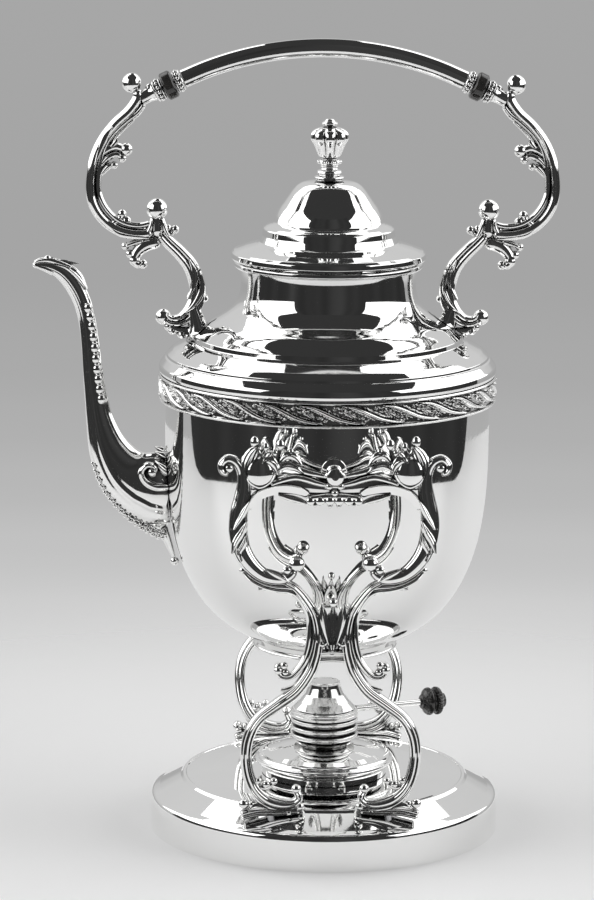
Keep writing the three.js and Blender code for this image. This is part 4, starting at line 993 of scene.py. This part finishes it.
def finial():
    """Turned finial: two rings, a beaded ring, a waist, the ribbed urn and its bead."""
    start = LID_TOP + CLEARANCE
    height = FINIAL_TOP - start
    stem = -6.4 / height
    urn_low, urn_top, ribs = 0.37, 0.88, 8

    def scaled(corners):
        """Corners whose heights are shares of the finial's height."""
        return [(r, start + share * height, *fillet) for r, share, *fillet in corners]

    def ribbed(turn, z):
        share = (z - start) / height - urn_low
        depth = 0.27 * math.sin(math.pi * min(max(share / 0.5, 0), 1)) ** 0.5
        return 1 - depth * (1 - abs(math.cos(ribs / 2 * turn)) ** 0.7)

    foot = [
        (0, stem), (1.5, stem, 0.2), (1.5, 0), (6.1, 0, 0.2), (6.5, 0.02, 0.4), (6.5, 0.06, 0.7),
        (4.8, 0.085, 0.3), (4.7, 0.1, 0.2), (5.5, 0.125, 0.5), (5.2, 0.16, 0.5), (3.8, 0.18, 0.4),
        (3.4, 0.21, 0.3), (4.1, 0.23, 0.3), (3.6, 0.25, 0.2), (4.6, 0.27, 0.3), (5.2, 0.3, 0.6),
        (4.6, 0.33, 0.3), (3.6, 0.35, 0.3), (3.6, 0.38, 0.8), (4, 0.41, 0.6), (0, 0.43)]
    urn = smooth(scaled([
        (0.02, urn_low), (3.4, 0.375), (4.7, 0.4), (5.5, 0.46), (6.2, 0.53), (6.9, 0.59), (7.7, 0.635),
        (8.2, 0.68), (8.2, 0.735), (7.8, 0.78), (6.8, 0.82), (5.2, 0.85), (3.2, 0.87), (0.02, urn_top)]), 5)
    urn = [*scaled([(0, urn_low)]), *[tuple(p) for p in urn[1:-1]], *scaled([(0, urn_top)])]
    top = [
        (0, 0.85), (2.4, 0.86, 0.3), (2.3, 0.885, 0.3), (3.3, 0.9, 0.5), (3.7, 0.935, 1.1),
        (2.4, 0.965, 0.6), (1.6, 1, 0.8), (0, 1)]
    beads = in_ring(4.7, start + 0.3 * height, 0.75, 14)
    return joined([spun(scaled(foot), 72), *beads, turned(urn, 128, ribbed), spun(scaled(top), 56, steps=6)])


def nut():
    """Hexagonal nut with chamfered corners."""
    low, top, _ = extent("finial_nut")

    def hexagon(turn, _):
        return 1 / math.cos((turn + math.pi / 6) % (math.pi / 3) - math.pi / 6) * 0.93

    return spun([
        (1.8, low), (3.3, low, 0.2), (3.7, low + 0.4, 0.2), (3.7, top - 0.4, 0.2), (3.3, top, 0.2),
        (1.8, top)], 48, lobes=hexagon)


def build_lid():
    piece("lid_dome", lid_shell(), POLISHED, "lid", "lid_shell")
    piece("lid_bezel_ring", bezel(), POLISHED, "lid", "lid_bezel")
    piece("lid_finial_turning", finial(), CAST, "lid", "lid_finial", 50)
    piece("lid_nut", nut(), STEEL, "lid", "finial_nut")


# Lamp and cone cap


def reservoir():
    """Squat reservoir with its foot, its rolled seam and the neck, with heights above its bottom."""
    outer = [
        (0, 0), (24.4, 0, 0.5), (25, 0.8, 0.5), (25, 4, 0.6), (26, 4.6, 0.4), (29.6, 4.9, 0.6),
        (30.3, 5.6, 0.6), (30.1, 6.6, 0.4), (29.2, 7, 0.3), (29.4, 7.8, 0.4), (28.6, 8.6, 0.8),
        (27, 8.8, 0.8), (24.6, 10, 3), (19, 11.8, 5), (13.4, 13.2, 2), (12.4, 13.5, 0.4), (12, 14, 0.4),
        (9.5, 14.1, 0.5), (9.5, 18.6)]
    inner = [(8.3, 18.6), (8.3, 13.2, 1), (19, 10.4, 4), (27.8, 7.4, 1), (27.8, 6, 1), (23.8, 5, 1),
             (23.8, SHEET, 0.8), (0, SHEET)]
    return turned(raised(rounded(outer) + rounded(inner, 3), extent("lamp_reservoir")[0]), 168)


def burner_collar():
    """Burner of three rounded fins with grooves between them, hollow under its top."""
    low, top, radius = extent("burner_collar")
    fins, pitch, core = 3, 3.4, radius - 3
    bore, top_bore, top_bottom = 9.8, 4.4, 44.1
    outline = [(core - 1.6, low, 0.3)]
    for i in range(fins):
        outline += raised([
            (core, 0.8, 0.3), (radius - 0.4, 1.1, 0.3), (radius, 1.6, 0.4), (radius, pitch - 0.8, 0.5),
            (radius - 0.5, pitch - 0.4, 0.3), (core, pitch - 0.2, 0.3)], low + i * pitch)
    outline.pop()
    outline += [(top_bore, top, 0.2), (top_bore, top_bottom, 0.2), (bore, top_bottom, 0.2), (bore, low, 0.2)]
    return spun(outline, 144, steps=4)


def wick_tube():
    low, top, _ = extent("wick_tube")
    return spun([
        (3.2, low), (4.1, low, 0.2), (4.1, 42.7, 0.1), (9.2, 42.7, 0.2), (9.2, 43.7, 0.3), (4.1, 43.7, 0.2),
        (4.1, top - 0.3, 0.3), (3.8, top, 0.2), (3.2, top)], 64)


def wick():
    """Round braided wick, plaited by crossing strands."""
    low, top, _ = extent("wick")
    steps = 60

    def plait(turn, z):
        return 0.93 + 0.035 * math.cos(5 * turn + 2.4 * z) + 0.035 * math.cos(5 * turn - 2.4 * z)

    rows = [(2.9, low + (top - low) * i / steps) for i in range(steps)]
    return turned([(0, low), *rows, (2.2, top), (0, top)], 40, plait)


def cone_cap():
    """Cone with two rolls at its rim and a flat top, with heights above the rim."""
    low, high, wide = extent("cone_cap")
    top = high - low
    outer = [
        (wide, 0), (wide, 1, 0.3), (wide - 0.5, 1.4, 0.3), (wide, 1.8, 0.3), (wide, 2.6, 0.5),
        (13.7, 3, 0.3), (13.6, 3.8, 0.4), (10.9, 6.5, 4), (8.5, 9.6, 4), (7.1, 13, 3), (6.8, 14.4, 0.5),
        (6.9, 15, 0.4), (6.2, top, 0.4), (5.4, top - 0.3, 0.5), (0, top - 0.3)]
    inner = [(0, top - 1.3), (5.2, top - 1.3, 0.5), (7.2, 9.2, 4), (11.2, 3.4, 1), (11.3, 0)]
    return turned(raised(rounded(outer) + rounded(inner, 3), low), 128)


LEVER_ANGLE = math.radians(20)
LEVER_REACH = 46.4
KNOB_RADIUS = 6.3


def on_lever(shape):
    """Lays a shape that stands along Z onto the lever's line."""
    turn = Matrix.Rotation(LEVER_ANGLE, 4, "Z") @ Matrix.Rotation(math.pi / 2, 4, "Y")
    return shifted(placed(shape, turn), z=sum(extent("lever_rod")[:2]) / 2)


def lever_rod():
    start, end = 15, LEVER_REACH + 6
    return spun([(0, start), (1.35, start), (1.35, end - 0.3, 0.3), (0.9, end, 0.2), (0, end)], 40)


def lever_knob():
    """Turned black knob with a groove and a serrated rim."""
    outline = rounded([
        (1.65, 0), (3, 0, 0.4), (3.6, 0.8, 0.6), (5.3, 1.8, 0.6), (6, 2.6, 0.6), (KNOB_RADIUS, 3.8, 0.8),
        (5.4, 4.9, 0.6), (4.5, 5.2, 0.3), (4.5, 5.9, 0.3), (5.6, 6.1, 0.4), (KNOB_RADIUS, 7, 0.7),
        (6, 8.4, 0.7), (4.6, 9.2, 0.5), (3.2, 9.4, 0.4), (3.2, 10.8, 0.6), (2, 11.4, 0.8), (0, 11.4)])

    def serrated(turn, z):
        on_rim = 6.2 < z < 8.6
        return 1 - (0.035 * (1 + math.cos(26 * turn)) if on_rim else 0)

    return shifted(turned([*outline, (0, 6.3), (1.65, 6.3)], 156, serrated), z=LEVER_REACH)


def build_lamp():
    piece("lamp_reservoir_shell", reservoir(), POLISHED, "lamp", "lamp_reservoir")
    piece("lamp_burner", burner_collar(), BURNER, "lamp", "burner_collar")
    piece("lamp_wick_tube", wick_tube(), BURNER, "lamp", "wick_tube")
    piece("lamp_wick", wick(), COTTON, "lamp", "wick")
    piece("cap_cone", cone_cap(), BURNER, "cap", "cone_cap")
    piece("cap_lever", on_lever(lever_rod()), BURNER, "cap", "lever_rod")
    piece("cap_knob", on_lever(lever_knob()), BLACK, "cap", "lever_knob")


# Studio: floor, dark room in front, pale sweep behind, two large soft boxes

FLOOR_TONE = 0.8
# Painted light: the floor's colour toward the front, lighter than its plain colour behind
FRONT_PAINTED_LIGHT_TONE = 0.97
TABLE_RADIUS = 0.95
WIDE_RADIUS = 0.9
CARD_RADIUS = 0.74
DARK_TONE = 0.035
SOFT_BOX_TONE = 1.8
AMBIENT_TONE = 0.45
BOX_SIDE, BOX_FRONT, BOX_BACK, BOX_LOW, BOX_TOP = 0.9, -0.85, 0.93, 0.33, 1.2


def glowing(name, tone=None):
    """A material that only glows, in one grey tone or in the tones stored in its mesh."""
    material, tree, _ = new_material(name)
    tree.nodes.clear()
    if tone:
        look = {"Color": (tone,) * 3}
    else:
        look = {"Strength": add(tree, "Attribute", "Fac", attribute_name="tone")}
    add(tree, "OutputMaterial", inputs={"Surface": add(tree, "Emission", "Emission", look)})
    return material


def stage_mesh(name, points, faces, material, unseen):
    """A piece of the studio, left out of the named kinds of rays."""
    mesh = bpy.data.meshes.new(name)
    mesh.from_pydata(points, [], faces)
    mesh.materials.append(material)
    made = bpy.data.objects.new(name, mesh)
    bpy.context.scene.collection.objects.link(made)
    for kind in unseen:
        setattr(made, "visible_" + kind, False)
    return made


def dark_tone(turn):
    """Tone of the dark card at an angle from the front, with two faint lighter stripes."""
    degrees = math.degrees(turn)
    lighter = 0.5 * math.exp(-((degrees + 50) / 5) ** 2) + 0.45 * math.exp(-((degrees - 12) / 10) ** 2)
    waves = 0.07 * math.sin(0.23 * degrees) + 0.05 * math.sin(0.41 * degrees + 1)
    return DARK_TONE * (0.85 + lighter + waves)


def dark_room():
    """Dark card round the front, low beside the soft boxes, and a dark ceiling; seen only in the silver."""
    reach, tall_reach, curve_start = 115, 46, 93
    tall, low, end_lift, lean = 1.3, 0.31, 0.13, 0.35
    points, faces, tones = [], [], []
    columns = [(float(d), tall if abs(d) <= tall_reach else low) for d in range(-reach, reach + 1)]
    columns += [(-tall_reach - 0.01, low), (tall_reach + 0.01, low)]
    for degrees, height in sorted(columns):
        turn = math.radians(degrees)
        past = max(abs(degrees) - curve_start, 0) / (reach - curve_start)
        for z in (end_lift * (1 - math.sqrt(1 - past ** 2)), height):
            out = CARD_RADIUS * (1 + lean * z / tall)
            points.append((out * math.sin(turn), -out * math.cos(turn), z))
            tones.append(dark_tone(turn))
        if len(points) > 2:
            last = len(points) - 1
            faces.append((last - 3, last - 1, last, last - 2))
    half = [(1.1, -1.6), (1.1, 0.2), (0.5, 0.6), (0.2, 0.7), (0.18, 1.3)]
    ceiling = [(x, y, tall) for x, y in half] + [(-x, y, tall) for x, y in reversed(half)]
    faces.append(tuple(range(len(points), len(points) + len(ceiling))))
    points += ceiling
    tones += [DARK_TONE] * len(ceiling)
    card = stage_mesh("card_dark", points, faces, glowing("card_dark"),
                      ["camera", "diffuse", "shadow", "transmission", "volume_scatter"])
    layer = card.data.attributes.new("tone", "FLOAT", "POINT")
    layer.data.foreach_set("value", tones)


def floor_disc(name, material_name, radius, height, unseen):
    """A round floor with painted light: its colour runs lighter from the object's middle toward the front, as
    if lit more there.
    """
    material, tree, shader = new_material(material_name)
    steps = 96
    turns = [2 * math.pi * i / steps for i in range(steps)]
    rim = [(radius * math.cos(turn), radius * math.sin(turn), height) for turn in turns]
    stage_mesh(name, rim, [tuple(range(steps))], material, unseen)
    depth = add(tree, "SeparateXYZ", "Y", {"Vector": own_space(tree)})
    # Painted light: the floor's colour runs lighter toward the front
    tone = ranged(tree, depth, FRONT_PAINTED_LIGHT_TONE, FLOOR_TONE, -0.12, 0.02, "SMOOTHSTEP")
    feed(tree, shader, {"Base Color": tone})
    return tree, shader


def floor():
    """Pale table, and round it a wider floor that only the camera sees and that fades into the sweep."""
    tree, shader = floor_disc("floor_table", "table_white_painted_light", TABLE_RADIUS, 0, ["camera"])
    feed(tree, shader, {"Roughness": 0.6, "Specular IOR Level": 0.2})
    unseen = ["glossy", "diffuse", "shadow"]
    tree, shader = floor_disc("floor_wide", "floor_fading_painted_light", WIDE_RADIUS, 0.0002, unseen)
    away = add(tree, "VectorMath", "Value", {0: own_space(tree)}, operation="LENGTH")
    feed(tree, shader, {"Roughness": 0.9, "Specular IOR Level": 0.0,
                        "Alpha": ranged(tree, away, 1, 0, 0.12, 0.5, "SMOOTHSTEP")})


def soft_box(name, side):
    """A soft box at one side of the kettle, with the roof that leans in from its top behind the kettle."""
    wall = [(BOX_SIDE, BOX_FRONT, BOX_LOW), (BOX_SIDE, BOX_BACK, BOX_LOW), (BOX_SIDE, BOX_BACK, BOX_TOP),
            (BOX_SIDE, BOX_FRONT, BOX_TOP)]
    roof = [(BOX_SIDE, -0.2, BOX_TOP), (0.83, -0.04, BOX_TOP), (0.17, 0.46, BOX_TOP), (0.17, 1.0, BOX_TOP),
            (BOX_SIDE, 1.0, BOX_TOP)]
    points = [(side * x, y, z) for x, y, z in wall + roof]
    stage_mesh(name, points, [(0, 1, 2, 3), (4, 5, 6, 7, 8)], glowing(name + "_light", SOFT_BOX_TONE),
               ["camera", "shadow"])


def sweep_world():
    """Pale sweep: near white at the table's height below the horizon, grey further up."""
    world = bpy.data.worlds.new("studio")
    bpy.context.scene.world = world
    world.use_nodes = True
    tree = world.node_tree
    tree.nodes.clear()
    height = add(tree, "SeparateXYZ", "Z", {"Vector": add(tree, "TexCoord", "Generated")})
    ramp = add(tree, "ValToRGB", inputs={"Fac": ranged(tree, height, 0, 1, -0.34, 0.66)})
    tones = [
        (0.0, 0.86), (0.04, 0.8), (0.08, 0.66), (0.108, 0.6), (0.122, 0.54), (0.137, 0.475), (0.152, 0.43),
        (0.166, 0.4), (0.19, 0.376), (0.4, 0.42), (0.5, 0.56), (0.62, 0.62), (1.0, 0.64)]
    ramp.color_ramp.interpolation = "EASE"
    while len(ramp.color_ramp.elements) < len(tones):
        ramp.color_ramp.elements.new(1.0)
    for element, (place, tone) in zip(ramp.color_ramp.elements, tones):
        element.position = place
        element.color = (tone, tone, tone, 1)
    seen = add(tree, "Background", "Background", {"Color": ramp.outputs["Color"]})
    ambient = add(tree, "Background", "Background", {"Color": (AMBIENT_TONE,) * 3})
    rays = add(tree, "LightPath")
    sharp = rays.outputs["Is Camera Ray"]
    for kind in ("Is Glossy Ray", "Is Transmission Ray"):
        sharp = add(tree, "Math", "Value", {0: sharp, 1: rays.outputs[kind]}, operation="MAXIMUM")
    choose = add(tree, "MixShader", "Shader", {"Fac": sharp, 1: ambient, 2: seen})
    add(tree, "OutputWorld", inputs={"Surface": choose})


def camera():
    """Camera at the photograph's viewing angle: slightly above, a touch to the left, and rolled a little."""
    elevation, azimuth, roll = (math.radians(a) for a in (11.21, 2.5, 0.54))
    distance, focal, frame_height, shift = 1.7337, 4000, 900, 29.8
    target = Vector((0, 0, 0.1675))
    back = Vector((-math.sin(azimuth) * math.cos(elevation), -math.cos(azimuth) * math.cos(elevation),
                   math.sin(elevation)))
    level = Vector((math.cos(azimuth), -math.sin(azimuth), 0))
    upright = back.cross(level)
    right = level * math.cos(roll) + upright * math.sin(roll)
    up = upright * math.cos(roll) - level * math.sin(roll)
    data = bpy.data.cameras.new("photo_camera")
    data.sensor_width = 36
    data.lens = data.sensor_width * focal / frame_height
    data.shift_x = -shift / frame_height
    data.clip_start = 0.05
    data.clip_end = 50
    made = bpy.data.objects.new("photo_camera", data)
    bpy.context.scene.collection.objects.link(made)
    turn = Matrix((right, up, back)).transposed().to_4x4()
    made.matrix_world = Matrix.Translation(target + back * distance) @ turn
    bpy.context.scene.camera = made


camera()
build_stand()
build_kettle()
build_handle()
build_lid()
build_lamp()
dark_room()
floor()
soft_box("soft_box_left", -1)
soft_box("soft_box_right", 1)
sweep_world()
bpy.context.scene.view_settings.view_transform = "Standard"
